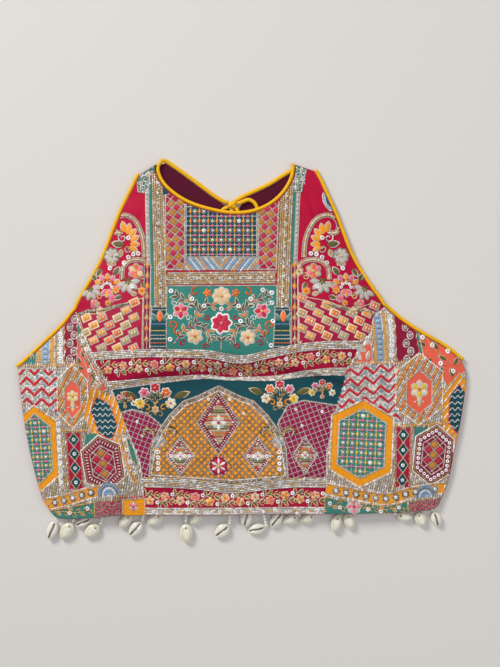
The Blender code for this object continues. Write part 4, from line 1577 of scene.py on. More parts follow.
def darned(outline, cell, ground=TEAL, down=LEMON, lean=0.0):
    """A darned grid: coloured stitches over the lines, and a silver cross in each square."""
    fill(outline, ground, lean)
    for size, turn in ((cell[0], 90 + lean), (cell[1], lean)):
        hatch(outline, size, turn, SILVER, 1.5, shift=size / 2)
        hatch(outline, size / 2, turn, [SILVER, SKY, SILVER], 0.9)
    for shift, thread, turn, reach in (((0.0, cell[1] / 2), PINK, 90.0, cell[0]),
                                       ((cell[0] / 2, 0.0), down, 0.0, cell[1])):
        spots = nodes_in(outline, cell, lean, shift)
        silk.copies(STITCH, spots, turn + lean, (2.9, reach * 0.8, 1.7), thread, 0.6)
    middles = nodes_in(outline, cell, lean)
    for turn in (45, -45):
        cross = (1.4, min(cell) * 0.86, 1.2)
        fine_cords.copies(STITCH, middles, turn + lean, cross, PALE_SILVER, 0.5)
    fine_cords.copies(BALL, middles, 0.0, (2.0, 2.0, 1.6), PALE_SILVER, 0.6)
    rings(middles[4::11], 4.0)
    couch(outline, SILVER, 1.6, closed=True)


def banded(outline, pitch, threads, degrees, width):
    """Rows side by side across a shape, each of its own colour."""
    for number, thread in enumerate(threads):
        hatch(outline, pitch * len(threads), degrees, thread, width, silk, 2.4, shift=pitch * number)


def zone(outline, thread, edge=SILVER, width=2.0, turn=0.0):
    """A filled shape with a couched edge."""
    fill(outline, thread, turn)
    couch(outline, edge, width, closed=True)


print("moves ready")

# %% [markdown]
# ## The bib: borders
# Two upright bands of dull gold frame the bib, and a third runs across it under the stitched grid. Such
# a border is a bought ribbon in cheap work, but here it is rows of couched cord, so each band is a
# filled strip with rows of cord, knots and spangles along it. On the outside an upright band has a thin
# teal strip and a rope of silver.

# %% Gold borders
def gold_band(line, across):
    """A border of couched rows with knots along its middle; gives its width."""
    step = 2.1
    width = step * len(across)
    # The grey strip under the cords is painted shade: the dark that shows in the gaps between them.
    ribbon(line, width, GREY)
    for number, thread in enumerate(across):
        offset = (number + 0.5) * step - width / 2
        slant = 16 if number % 2 else -16
        couch(beside(line, offset), [thread, thread, PALE_SILVER, GOLD, PEACH], step * 0.95, cords, 2.6,
              slant, overlap=1.6)
    row(line, BALL, 3.4, (2, 2.4, 1.7), [PALE_SILVER, GREY, SILVER], cords, 0.4)
    return width


def straight(*points):
    return evenly(np.array(points, float), 3)


left_band = straight((-84.6, 179), (-83.4, 140), (-80, 44))
right_band = straight((48, 186), (45, 150), (40.4, 44))
UPRIGHT = [SILVER, PEACH, GOLD, PALE_SILVER, GOLD, PEACH]
for line, way in ((left_band, 1), (right_band, -1)):
    width = gold_band(line, UPRIGHT[::way])
    for offset, strip, thread in ((1.6, 2.6, TEAL), (4.9, 4, SILVER)):
        ribbon(beside(line[2:], -way * (width / 2 + offset)), strip, thread)
    rope = beside(line[2:], -way * (width / 2 + 4.9))
    row(rope, STITCH, 1.5, (1.5, 4.4, 1.6), [PALE_SILVER, SILVER, SILVER], cords, 0.3, 58 * way)
gold_band(straight((-73.5, 72.5), (33, 73.5)), [SILVER, PEACH, PALE_SILVER, GOLD, PEACH, SILVER])
rings([(-45, 73), (-19, 73.5), (8, 73), (-84, 128), (-81.5, 86), (-80.5, 60), (42.5, 96)], 3.2)
print("three borders")

# %% [markdown]
# ## The bib: lattice, grid and stripes
# Beside each border runs a lattice of crimson and gold lozenges under a net of silver cord, an old
# counted pattern. The grid in the middle is darned: a pink stitch across and a yellow one down at each
# crossing, with a cross in each square.

# %% Lattices, grid and stripes
tiled([(-76, 81.5), (-57, 81.5), (-57, 149), (-68, 156), (-76.5, 160)], (9.4, 9),
      [OCHRE, ROSE], SILVER, 1.6, 0.82, FLOSS_WINE, 8)
tiled([(16.5, 81.5), (34.5, 81.5), (37.5, 157), (16.5, 146)], (9.4, 9), [OCHRE, ROSE],
      SILVER, 1.6, 0.82, FLOSS_WINE, -8)
darned([(-55.5, 94), (15, 94), (15, 144), (-20, 141), (-55.5, 147)], (8.8, 9.6), PETROL,
       MARIGOLD)
for start, end, degrees in ((-55.5, -20.5, 128), (-19.5, 15, 52)):
    stripe = [(start, 81.5), (end, 81.5), (end, 92.5), (start, 92.5)]
    zone(stripe, SKY, SILVER, 1.4)
    banded(stripe, 2.5, [MARIGOLD, CREAM, SKY, PALE_SILVER, SKY], degrees, 2.2)
zone([(-80, 168), (-74.5, 161), (-72.5, 157.5), (-79.5, 156)], PETROL, SILVER, 1.2)
print("lattice, grid and stripes")

# %% [markdown]
# ## The bib: flowers on teal
# Below the band lies a teal panel of flowers on a wandering stem. Flowers are the commonest motif there
# is, so they are made from one rule each: petals round a heart, leaves along a stem, and curls at the
# tips. Only their places and colours are listed.

# %% Flowers on teal
FLOWERS = [
    # x, y, radius, petals, turn, thread, heart, edge
    (-20, 55, 8.5, 8, 0, PEACH, GOLD, SILVER),
    (-20, 28, 10, 7, 15, ROSE, PINK, PALE_SILVER),
    (-60, 40, 7.5, 6, 0, [PINK, ROSE], LEMON, SILVER),
    (20, 40, 7.5, 6, 30, [PINK, ROSE], LEMON, SILVER),
    (-46, 15, 7.5, 6, 10, PEACH, ORANGE, SILVER),
    (6, 14, 7.5, 6, -10, PEACH, ORANGE, SILVER),
    (-34, 58, 4.5, 5, 20, ORANGE, LEMON, None),
    (-6, 58, 4.5, 5, -20, ORANGE, LEMON, None),
]
STEMS = [
    [(-66, 8), (-56, 22), (-46, 26), (-42, 38), (-34, 48), (-24, 42)],
    [(26, 8), (16, 22), (6, 26), (2, 38), (-6, 48), (-16, 42)],
    [(-42, 38), (-50, 50), (-62, 53), (-68, 60)],
    [(2, 38), (10, 50), (22, 53), (28, 60)],
    [(-46, 26), (-34, 22), (-29, 8)],
    [(6, 26), (-6, 22), (-11, 8)],
    [(-20, 2), (-20, 18)],
]


LEAF_TURN = 42


def stem(points):
    """A wandering stem with pairs of leaves."""
    line = evenly(smooth_curve(points), 1.5)
    couch(line, [SILVER, PINK], 1.5, fine_cords, 1.5)
    spots = evenly(line, 7)
    turns = turns_of(spots)
    for number in range(1, len(spots) - 1):
        for way in (LEAF_TURN, -LEAF_TURN):
            thread = [OLIVE, MOSS, OCHRE][(number + way) % 3]
            leaf(*spots[number], 7, turns[number] + way, thread)


def mirrored(middle, *places):
    """Each place and its mirror image; a place is x, y and a turn."""
    for x, y, turn in places:
        yield x, y, turn, 1
        yield 2 * middle - x, y, 180 - turn, -1


zone([(-74, -1), (-30, -1.5), (-2, -6), (20, -1.5), (35, 3), (35, 65.5), (-74, 65)],
     TEAL, SILVER, 1.6)
for points in STEMS:
    stem(points)
for x, y, radius, petals, turn, thread, heart, outline in FLOWERS:
    flower(x, y, radius, thread, heart, petals, turn, outline)
for x, y, turn, hand in mirrored(-20, (-46, 59, 90), (-68, 26, 0), (-62, 20, 120)):
    curl(x, y, 4.6, turn, ORANGE, 2.2, 0.8, hand)
for x, y, turn, hand in mirrored(-20, (-34, 34, 200), (-36, 5, 0), (-58, 8, 40)):
    curl(x, y, 3.4, turn, ROSE, 1.9, 0.8, hand)
for x, y, turn, hand in mirrored(-20, (-52, 33, 0), (-66, 48, 100), (-28, 14, 60), (-50, 45, 0)):
    curl(x, y, 3.2, turn, PALE_SILVER, 1.1, 1.1, hand)
rings([(-49, 52), (-37, 45), (-3, 45), (9, 52), (21, 61), (30, 48), (30, 58), (-1, 30), (31, 30), (-70, 12),
       (29, 6), (-56, 2), (-70, 60), (-70, 34), (-20, 42)], 4.8)
print(len(FLOWERS), "flowers on teal")

# %% [markdown]
# Under each upright band stands a block of short rows in many colours, which rests on the silver band.

# %% Feet of the borders
for middle, way in ((-80.5, 1), (41, -1)):
    block = [(middle - 8, 44), (middle + 6.5, 44), (middle + 7, 1), (middle - 10, 1)]
    zone(block, PETROL, SILVER, 1.6)
    for y, thread, height in ((41, SILVER, 2.4), (27, SKY, 2.2), (23.5, PETROL, 2), (20.5, LEMON, 3.2),
                              (16, SILVER, 2.2), (12.5, CREAM, 3.2), (8.5, ORANGE, 2.6), (5, SILVER, 2.6)):
        line = [(middle - 7.5 - (20 - y) * 0.03, y), (middle + 6, y)]
        shaded = [thread, tuple(np.array(thread) * 0.7)]
        row(line, STITCH, 1.6, (1.3, height * 1.5, 1.4), shaded, silk)
    leaf(middle, 29, 11, 0, ORANGE, PEACH, 0.5)
    for x, turn in ((middle - 4, 25), (middle + 4, -25)):
        leaf(x, 30, 8, turn, SEA, SILVER, 0.5)
print("two feet")

# %% [markdown]
# ## The flanks and the straps
# Beside the borders the silk shows. On each side stand scrolls of pale cord, padded leaves, open flowers
# and rows of rings, all generic motifs of this craft, and below them slanting rows of satin tiles. The
# two sides mirror each other, so places are given for the left side and turned over for the right one.

# %% Flanks
def scroll(points):
    """A thick pale cord between two thin silver ones."""
    line = smooth_curve(points)
    for offset in (-2, 2):
        couch(beside(line, offset), SILVER, 1.3)
    couch(line, [PEACH, CREAM], 3.2, silk, lift=0.6)


def petal_fan(x, y, length, turn):
    """Five padded petals that open to one side, under a small olive cap."""
    turns = turn + np.array([-80, -40, 0, 40, 80])
    spots = np.tile((x, y), (5, 1))
    padded_work.copies(PETAL, spots, turns, (length * 0.48, length * 1.05, 0.8), GREY, 0.15)
    padded_work.copies(PETAL, spots, turns, (length * 0.38, length * 0.97, 1.5), ASH, 0.3)
    flower(x, y, length * 0.34, OLIVE, GOLD, 5, turn)


def across(x, way):
    """The same place on the left flank, or on the right one, which is a little wider."""
    return x if way > 0 else 62 - 1.12 * (x + 97)


def half_ring(x, y, radius, way):
    """A fan of short petals over a bow of rings, with drops below."""
    spread = np.linspace(-80, 80, 5)
    bow = np.radians(spread * way)
    rings(np.column_stack([x - radius * np.sin(bow), y + radius * np.cos(bow)]), 3.4)
    couch(disc(x, y, radius + 2.6)[:13], [ORANGE, PEACH], 1.6)
    for number, turn in enumerate(np.linspace(-85, 85, 7)):
        lean = math.radians(turn)
        foot = (x - (radius + 3) * math.sin(lean), y + (radius + 3) * math.cos(lean))
        leaf(*foot, 6.6, turn, [PINK, MARIGOLD][number % 2], SILVER, 0.62)
    for turn, thread in ((180, MARIGOLD), (140, PINK), (220, PINK)):
        leaf(x, y - 1, 8, turn, thread, SILVER, 0.5)


print("motifs for the flanks")

# %% Places on the flanks
SCROLLS = [
    [(-97, 94), (-98, 108), (-101, 120), (-107.5, 131.5), (-117, 136.5), (-125, 134), (-128.5, 127),
     (-126.5, 119.5), (-121, 118.5)],
    [(-119.5, 73), (-118.5, 83), (-112.5, 90), (-103.5, 91.5), (-95.5, 88.5), (-91.5, 82.5)],
]
FLANK_LEAVES = [
    # x, y, turn, length, thread
    (-117.5, 119, 12, 11, MARIGOLD), (-115, 117, -14, 11, MARIGOLD),
    (-113, 114, -40, 10.5, MARIGOLD), (-112, 110.5, -64, 10, MARIGOLD),
    (-112, 107, -90, 9.5, MARIGOLD), (-112.5, 104.5, -118, 9, MARIGOLD), (-118, 106, 78, 12, OLIVE),
    (-120, 102.5, 165, 8, KHAKI), (-141, 83, 150, 9, OLIVE), (-128.5, 76, -38, 10, OLIVE),
    (-130.5, 91.5, 180, 7, KHAKI), (-130.5, 91.5, 145, 6.5, KHAKI), (-130.5, 91.5, 215, 6.5, KHAKI),
    (-118.5, 55, 110, 8, OLIVE), (-99.5, 69, -150, 8, OLIVE), (-141, 48, 110, 8, KHAKI),
    (-146, 71, 35, 8, OLIVE), (-103.5, 56, 70, 7, KHAKI), (-124, 92.5, 40, 7, OLIVE),
]
FLANK_FLOWERS = [
    # x, y, radius, thread, heart
    (-105.5, 80, 7.5, [ORANGE, PEACH, PINK], LEMON), (-92.5, 79.5, 4.5, PEACH, ROSE),
    (-125.5, 61, 3.8, MARIGOLD, PINK), (-98.5, 60, 4.2, MARIGOLD, ROSE),
    (-128.5, 52.5, 4, PINK, ORANGE), (-147.5, 49, 3.6, [PINK, PEACH], ORANGE),
]


def flank(way):
    """Everything on one flank; way is 1 for the left one and -1 for the right one."""
    def at(x):
        return across(x, way)

    for points in SCROLLS:
        scroll([(at(x), y) for x, y in points])
    curl(at(-119.5), 113.5, 5, 90, [SILVER, PALE_SILVER], 1.8, 1.2, way)
    curl(at(-114), 102.5, 4.4, 0 if way > 0 else 180, [KHAKI, SILVER], 2.2, 1, -way)
    flower(at(-130.5), 95.5, 7.8, [SILVER, ASH], PEACH, 8, 10, GREY)
    half_ring(at(-134.5), 63, 5.2, way)
    petal_fan(at(-113), 69.5, 12.5, 180 + way * 12)
    petal_fan(at(-151.5), 62, 11.5, 180 + way * 25)
    for x, y, turn, length, thread in FLANK_LEAVES:
        leaf(at(x), y, length, way * turn, thread, SILVER, 0.5)
    for x, y, radius, thread, heart in FLANK_FLOWERS:
        flower(at(x), y, radius, thread, heart, 6, 0, DULL_SILVER)
    for x, y, radius, turn in ((-98.5, 74.5, 3.6, 90), (-121, 66, 3.4, 60), (-141.5, 55, 3.4, 100)):
        curl(at(x), y, radius, turn if way > 0 else 180 - turn, PEACH, 1.7, hand=way)
    rings([(at(x), y) for x, y in ((-117.6, 88.4), (-113.3, 94), (-108.3, 96.8), (-103.3, 97.5),
                                   (-113.5, 113.5), (-108.5, 64.5), (-132, 83))], 4.6)


FLANK_MIDDLE = -20.5
POST_ENDS = [(73.2, 86), (72.6, 1)]


def post(way):
    """A narrow column of marigold blocks, tied with pink knots between silver cords."""
    line = straight(*((FLANK_MIDDLE - way * away, y) for away, y in POST_ENDS))
    ribbon(line, 6.4, WINE)
    row(line, STITCH, 10.4, (5.2, 10, 2), [MARIGOLD, GOLD], silk, 0.3)
    row(line[1:], BALL, 10.4, (3.2, 2.6, 2.2), PINK, silk, 0.8)
    for offset, thread in ((-3.2, SILVER), (3.2, PALE_SILVER), (0, SILVER)):
        couch(beside(line, offset), thread, 1.3)


def garland(way):
    """Two long feathered leaves that lie along the top of the tiles."""
    for points in ([(-141, 40), (-152, 40.5), (-162, 37)], [(-141, 40), (-128, 44), (-113, 47)]):
        line = smooth_curve([(across(x, way), y) for x, y in points])
        row(line, STITCH, 1.6, (2.2, 6, 1.8), [ASH, SILVER, ASH, KHAKI], cords, 0.3, way * 58)
        couch(line, [OLIVE, SILVER], 1.4, lift=0.9)
    for x, y, radius, thread in ((-141, 40, 4.5, PEACH), (-133, 48, 3, MARIGOLD), (-148, 46, 3, PINK)):
        flower(across(x, way), y, radius, thread, ORANGE, 6, 0, DULL_SILVER)


print(len(FLANK_LEAVES), "leaves and", len(FLANK_FLOWERS), "flowers for each flank")

# %% Tiles below the flanks
TILE_FIELDS = [
    [(-97.5, 1), (-97.5, 53), (-120, 46), (-142, 37), (-164, 38), (-156.5, 15), (-148.5, -1)],
    [(56.5, 6), (56.5, 55), (84, 50), (108, 41), (134, 49), (144, 44.5), (131.5, 34), (128, 18), (118, 6)]]
TILE_STEP = (16.4, 15)


def blocks(outline, turn):
    """Oblong satin tiles in staggered rows, each edged in silver and barred with floss."""
    fill(outline, FLOSS_WINE)
    heading = np.array([math.cos(math.radians(turn)), math.sin(math.radians(turn))])
    half_step = np.array(TILE_STEP) / 2
    for shift, floors in (((0, 0), [MARIGOLD, ORANGE, KHAKI]), (half_step, [KHAKI, MARIGOLD, ORANGE])):
        spots = nodes_in(outline, TILE_STEP, 0, shift, 0.95)
        count = len(spots)
        padded_work.copies(BLOCK, spots, turn, (10.8, 8.4, 0.9), shades([ASH, CREAM], count), 0.25)
        padded_work.copies(BLOCK, spots, turn, (8.6, 6.4, 1.7), shades(floors, count), 0.3)
        bars = shades([CREAM, PEACH], count)
        for offset in (-1.6, 1.6):
            silk.copies(STITCH, spots + heading * offset, turn, (1.9, 6.2, 1.2), bars, 0.95)
    couch(outline, CREAM, 1.2, closed=True)


for outline, way in zip(TILE_FIELDS, (1, -1)):
    flank(way)
    post(way)
    blocks(outline, way * 24)
    garland(way)
print("flanks")

# %% [markdown]
# Where each border meets the strap lies a patch of silver scrolls on teal. At the right armhole a small
# half ring of blue has been set against the edge.

# %% Straps
STRAP_CURLS = [
    # x and y from the patch's middle, radius, turn
    (0, 9, 4.2, 0), (-1, 1, 4.2, 180), (1, -8, 4.2, 0), (4, 5, 3, 90), (-4, -4, 3, 200), (4, -3, 2.6, 60),
    (-4, 6, 2.8, 20), (5, 11, 3, 200), (-3, -12, 2.6, 120),
]


def strap(outline, x, y, way):
    fill(outline, SEA)
    couch(outline, SILVER, 2.2, closed=True)
    for dx, dy, radius, turn in STRAP_CURLS:
        curl(x + dx * way, y + dy, radius, turn, [SILVER, ASH, PALE_SILVER], 2, 1.4, way)


strap([(-106, 181), (-104, 160), (-97, 159), (-93, 164), (-92.5, 180), (-80, 182), (-78, 200),
       (-92, 200)], -98, 172, -1)
curl(-88, 187, 4.6, 20, [SILVER, PALE_SILVER], 1.8, 1.4)
strap([(48, 200), (49.5, 181), (54.5, 178), (54, 160), (60, 160), (61, 168), (66, 186),
       (66, 200)], 58, 176, 1)
for radius, thread in ((6.6, SKY), (4.4, BLUE)):
    zone(disc(88.8, 151, radius, 18, 1.7, 24), thread, PALE_SILVER, 1.3)
print("straps")

# %% [markdown]
# ## The midriff's field
# Between the bands lies the richest part: a marigold field of tiles under a fine silver net, with
# medallions, petrol corners with sprays of flowers, and checked ends. The layout here is a generic one
# of plain lozenges and hexagons. Each shape is an outline of a few points, filled, netted and edged.

# %% Shapes
def turned(shape, x, y, half_width, half_height, lean):
    shape = np.array(shape, float) * (half_width, half_height)
    cos, sin = math.cos(math.radians(lean)), math.sin(math.radians(lean))
    return np.column_stack([x + shape[:, 0] * cos - shape[:, 1] * sin,
                            y + shape[:, 0] * sin + shape[:, 1] * cos])


def lozenge(x, y, half_width, half_height):
    return turned([(1, 0), (0, 1), (-1, 0), (0, -1)], x, y, half_width, half_height, 0)


def hexagon(x, y, half_width, half_height, shoulder, lean):
    """Upright, with a point above and below."""
    shape = [(1, shoulder), (0, 1), (-1, shoulder), (-1, -shoulder), (0, -1), (1, -shoulder)]
    return turned(shape, x, y, half_width, half_height, lean)


def netted(outline, angles):
    """Plum silk under a wide net of thin cord."""
    zone(outline, PLUM, SILVER, 2.2)
    hatch(outline, 5, angles, SILVER, 1)


def medallion(x, y, half_width, half_height):
    """A lozenge with a toothed rim, filled with rows of many colours, and a silver flower."""
    zone(lozenge(x, y, half_width, half_height), WINE, SILVER, 1.8)
    row(lozenge(x, y, half_width * 0.87, half_height * 0.87), STITCH, 2.4, (1.3, 4.2, 1.5),
        SILVERS, cords, 0.5, 90, closed=True)
    inner = lozenge(x, y, half_width * 0.68, half_height * 0.68)
    zone(inner, KHAKI, [PALE_SILVER, ROSE], 1.6)
    banded(inner, 2, [SILVER, ROSE, KHAKI, ORANGE, SILVER, OLIVE, TEAL, PEACH], 0, 1.6)
    flower(x, y, half_width * 0.36, SILVERS, ROSE, 8)


# %% Centre field
fill([(-129, -36), (-58, -24), (0, -28), (34, -25), (105, -20), (98, -46), (88, -78),
      (-116, -80)], PETROL, square=1.5)
field = np.array([(-23, -35), (-2, -45), (12, -50), (26, -64), (36, -78), (44, -96), (46, -127), (-9, -133),
                  (-92, -127), (-90, -96), (-82, -78), (-72, -64), (-58, -50), (-44, -45)], float)
right_check = [(44, -129), (43, -94), (36, -72), (46, -54), (62, -49), (95, -54), (88, -96), (85.5, -129)]
left_check = [(-88, -129), (-88, -94), (-80, -74), (-94, -62), (-108, -58), (-123, -62), (-113, -92),
              (-103, -129)]
netted(right_check, (20, 110))
netted(left_check, (70, 160))
tiled(field, (6.8, 6.8), [MARIGOLD, MARIGOLD], [DULL_SILVER, GREY], 1.3, 0.7, OCHRE)
for offset, thread in ((0, SILVER), (-2.3, GREY), (-4.4, PALE_SILVER)):
    rim = beside(np.vstack([field, field[:2]]), offset)[1:]
    couch(rim, [thread, SILVER], 2.5)
medallion(-23, -71, 21, 32)
for x, y in ((-61, -104), (16, -104)):
    medallion(x, y, 14, 19)
    rings([(x - 9 + 4.5 * step, y) for step in range(5)], 4.2)
medallion(63, -103, 12, 19)
zone(disc(-23, -114, 9.5), WINE, [SILVER, ROSE], 1.8)
flower(-23, -114, 8, [PALE_SILVER, ROSE], LEMON, 12, width=0.34)
rings([(x, -100 - 5.6 * step) for x in (-83, 37.5) for step in range(4)], 4.6)
for x in (-82, 36):
    for side in (1, -1):
        for radius, thread in ((9, OLIVE), (7.2, SILVER)):
            curl(x + side * 13, -82, radius, 90 + side * 100, [thread, thread, GOLD], 2.8, 0.62, -side, 1)
    flower(x, -90, 6.5, [SKY, SILVER], PALE_SILVER, 8, 0, SILVER, 0.4)
rings([(-104, -70), (-99, -84), (54, -58), (80, -60), (60, -74), (-33, -48), (-12, -48), (2, -62)], 3.2)
print("centre field")

# %% Sprays of flowers on petrol
BLOOMS = [
    # turn from upright, reach, thread, heart
    (0, 1, ROSE, LEMON), (-36, 0.92, PINK, ROSE), (36, 0.92, ORANGE, CREAM), (-74, 0.8, LEMON, ORANGE),
    (74, 0.8, CREAM, ROSE),
]


def spray(x, y, size, way, side_leaves=True):
    """Five stems that fan out from a foot, with flowers, leaves and curls at their ends."""
    for degrees, reach, thread, heart in BLOOMS:
        turn = math.radians(degrees * way)
        tip = np.array((x + size * reach * math.sin(turn), y + size * reach * math.cos(turn)))
        bend = np.array((x + size * reach * 0.5 * math.sin(turn * 0.6), y + size * reach * 0.55))
        couch(smooth_curve([(x, y), bend, tip]), [PEACH, OLIVE], 1.3, fine_cords)
        leaf(*bend, size * 0.34, -degrees * way + 40, OLIVE)
        flower(*tip, size * 0.25, thread, heart, 6, degrees, PALE_SILVER)
    if side_leaves:
        for side in (1, -1):
            reach = side * size
            leaf(x + reach * 0.9, y + size * 0.5, size * 0.8, -side * 72, OLIVE, PEACH, 0.4)
            curl(x + reach * 0.42, y - size * 0.02, size * 0.24, 90 - side * 90, MARIGOLD, 2, 0.8, side)
            curl(x + reach * 0.24, y - size * 0.34, size * 0.2, 90 + side * 90, KHAKI, 1.6, 0.9, -side)
    flower(x, y - size * 0.08, size * 0.2, PEACH, ROSE, 6)


spray(-86, -56, 20, 1)
spray(38, -51, 18, -1)
spray(80, -44, 13, 1, False)
spray(-116, -54, 11, 1, False)
print("sprays")

# %% [markdown]
# ## The midriff's bands
# Three silver bands cross the centre front, and between them run vines on crimson. A vine is a wave along
# the band's middle with a flower, leaves and curls in turn, so its wavelength sets the rhythm.

# %% Bands across the centre front
PINK_SILVER = srgb(204, 180, 172)
BAND_ROWS = [[SILVER, SILVER, PALE_SILVER], [PALE_SILVER, PINK_SILVER], [SILVER, PALE_SILVER, GOLD]]


def silver_band(points, width, ground=GREY, last_width=None):
    """Couched rows of silver side by side, some of them paler; the band may taper to another width."""
    line = evenly(smooth_curve(points), 2.5)
    ahead = headings(line)
    normal = np.column_stack([-ahead[:, 1], ahead[:, 0]])
    widths = np.linspace(width, last_width or width, len(line))[:, None]
    # A grey ground is painted shade, the dark in the gaps between the rows; the hem's band has a silver
    # one.
    fill(np.vstack([line + normal * widths / 2, (line - normal * widths / 2)[::-1]]), ground)
    count = max(1, round(width / 1.75))
    for number in range(count):
        share = (number + 0.5) / count - 0.5
        couch(line + normal * widths * share, BAND_ROWS[number % 3], 1.7, cords, 3.4, 2, overlap=2.8)


def headings_at(line, measure, at):
    start, end = read_at(line, measure, [at - 1, at + 1])
    return (end - start) / np.linalg.norm(end - start)


VINE_FLOWERS = [([PEACH, MARIGOLD], ROSE), ([PINK, ORANGE], LEMON), ([ORANGE, PEACH], CREAM),
                ([LEMON, ORANGE], PINK), (PEACH, ROSE)]


def vine(points, swing, wave, size=3.9):
    """A waving stem with flowers, leaves, curls and rings in its bends."""
    line = evenly(smooth_curve(points), 1.5)
    measure = lengths(line)
    ahead = headings(line)
    across = np.column_stack([-ahead[:, 1], ahead[:, 0]])
    offset = swing * np.sin(2 * math.pi * measure / wave)
    couch(line + across * offset[:, None], [PEACH, SILVER], 1.3, fine_cords, 1.6)
    for number in range(int(measure[-1] / wave * 2)):
        at = (number + 0.5) * wave / 2
        way = -1 if number % 2 else 1
        spot, along = read_at(line, measure, [at])[0], headings_at(line, measure, at)
        normal = np.array((-along[1], along[0]))
        lean = math.degrees(math.atan2(along[1], along[0]))
        petals, heart = VINE_FLOWERS[number * 2 % 5]
        flower(*(spot - normal * way * swing * 0.45), size, petals, heart, 5 + number % 2, number * 17,
               SILVER if number % 2 else PEACH)
        for share, turn in ((-0.34, 65), (0.3, -60), (-0.1, 15), (0.12, 150)):
            root = spot + along * share * wave / 2 + normal * way * swing * 0.9
            leaf(*root, size * 1.35, lean - 90 + way * (turn + 30), [OLIVE, MOSS, OLIVE][number % 3], PEACH)
        tip = spot + along * wave * 0.25
        curl(*(tip + normal * way * swing * 0.6), size * 0.9, lean + 90 * way, PEACH, 1.2, 1.1, way)
        bend = spot - along * wave * 0.16 - normal * way * swing * 0.7
        curl(*bend, size * 0.6, lean, PEACH, 1, 1, -way)
        rings([tip - normal * way * swing * 0.9], 4.2)


silver_band([(-149, -5), (-120, -3), (-90, -1.5), (-60, -2), (-32, -3), (-1, -8), (25, -3), (53, 3),
             (80, 6), (103, 6.5), (116, 6.5)], 8.6)
vine([(-140, -17), (-110, -15.5), (-70, -14), (-32, -15), (0, -19), (30, -14.5), (56, -8.5), (85, -6),
      (108, -6.5)], 4, 31)
silver_band([(-133, -34.5), (-110, -32), (-85, -29), (-40, -25.5), (-14, -27.5)], 9.6,
            last_width=2.6)
silver_band([(106, -20), (84, -20), (60, -22.5), (30, -27), (-16, -27.5)], 8.6, last_width=2.6)
silver_band([(-103, -130.5), (-70, -131), (-40, -133.5), (-9, -137), (25, -133), (55, -130.5),
             (84, -131)], 10.5)
vine([(-99, -147), (-60, -147), (-20, -148.5), (20, -147), (50, -145.5), (83, -146)],
     4.4, 30, 4.3)
silver_band([(-97, -160.5), (-60, -160.5), (-20, -160.5), (20, -160), (55, -159.5),
             (84, -160)], 8.8, SILVER)
rings([(x, -160 + 1.5 * math.sin(x)) for x in range(-88, 82, 11)], 3.2)
print("bands and vines")

# %% [markdown]
# ## The side panels
# On the sides no crimson shows. The ground is couched in silver rows first, and coloured shapes are
# inlaid on it: chevrons, striped and netted hexagons, zigzag strips, columns of sequins and a strip of
# roundels above the hem. All are plain shapes of this craft in a layout of their own, so the helpers
# below take an outline or a line and fill it with one pattern.

# %% Patterns for the sides
def metal_ground(outline):
    """Silver rows that lie close together, with a dull gold one now and then."""
    fill(outline, DULL_SILVER, 80)
    hatch(outline, 2.3, 80, [SILVER, PALE_SILVER, SILVER, KHAKI, PINK_SILVER], 2.3 * 0.85, cords, 3.4,
          overlap=2.4)
    couch(outline, [SILVER, PALE_SILVER], 2.2, closed=True)


def zigzag(start, end, period, swing):
    """Points of a zigzag between two places."""
    start, end = np.array(start, float), np.array(end, float)
    count = max(2, int(round(np.linalg.norm(end - start) / period * 2)))
    share = np.linspace(0, 1, count + 1)[:, None]
    ahead = (end - start) / np.linalg.norm(end - start)
    offset = swing * (1 - 2 * (np.arange(count + 1) % 2))[:, None]
    return start + (end - start) * share + offset * np.array((-ahead[1], ahead[0]))


def kept(line, outline):
    """The stretches of a bent line that lie inside a shape."""
    line = evenly(line, 0.8)
    hit = np.concatenate([[False], inside(line, outline), [False]])
    change = np.flatnonzero(hit[1:] != hit[:-1])
    return [line[first:last] for first, last in zip(change[::2], change[1::2]) if last - first > 3]


def chevrons(outline, period=16.5, swing=3.5, pitch=10.6, lean=0):
    """Red zigzags between thick silver ones."""
    outline = np.array(outline, float)
    fill(outline, SILVER)
    low, high = outline.min(axis=0), outline.max(axis=0)
    drop = math.tan(math.radians(lean)) * (high[0] - low[0])
    for y in np.arange(low[1] - abs(drop), high[1] + abs(drop) + pitch, pitch):
        for shift, thread, width in ((0, SCARLET, 3.2), (3, SILVERS, 2.4),
                                     (5.3, [PALE_SILVER, SILVER, SKY], 2.4),
                                     (7.6, SILVERS, 2.4)):
            path = zigzag((low[0] - 3, y + shift), (high[0] + 3, y + shift + drop), period, swing)
            for stretch in kept(path, outline):
                couch(stretch, thread, width, silk if thread == SCARLET else cords, 2, 0, overlap=2)


print("grounds and chevrons")

# %% Strips and columns
def sequin_column(line, width, pitch=4.7, size=4.4):
    line = evenly(line, 3)
    ribbon(line, width, DULL_SILVER)
    for offset in (-0.5, 0.5):
        couch(beside(line, offset * width), [GOLD, KHAKI], 1.3)
    for offset in (-0.32, -0.11, 0.11, 0.32):
        couch(beside(line, offset * width), SILVERS, width * 0.24, fine_cords, 2.6,
              overlap=2)
    rings(evenly(line, pitch)[1:-1], size)


def zigzag_strip(line, width):
    """A strip with a chain of dark lozenges down its middle, edged with gold."""
    line = evenly(line, 3)
    ribbon(line, width, FLOSS_WINE)
    joints = evenly(line, width * 0.95)
    for start, end in zip(joints, joints[1:]):
        middle, ahead = (start + end) / 2, (end - start) / 2
        across = np.array((-ahead[1], ahead[0])) / np.linalg.norm(ahead) * width * 0.34
        shape = np.array([start, middle + across, end, middle - across])
        fill(shape, PETROL)
        couch(shape, [GOLD, SILVER], 1.3, fine_cords, closed=True)
        rings([middle], 3.8)
    for way in (1, -1):
        couch(beside(line, way * width / 2), [GOLD, KHAKI], 1.6)
    for offset in (0.42, -0.42):
        row(beside(line, offset * width), STITCH, 2.2, (1.3, 2.4, 1.2), [SILVER, PINK], fine_cords)


OVAL = (6, 7.6)


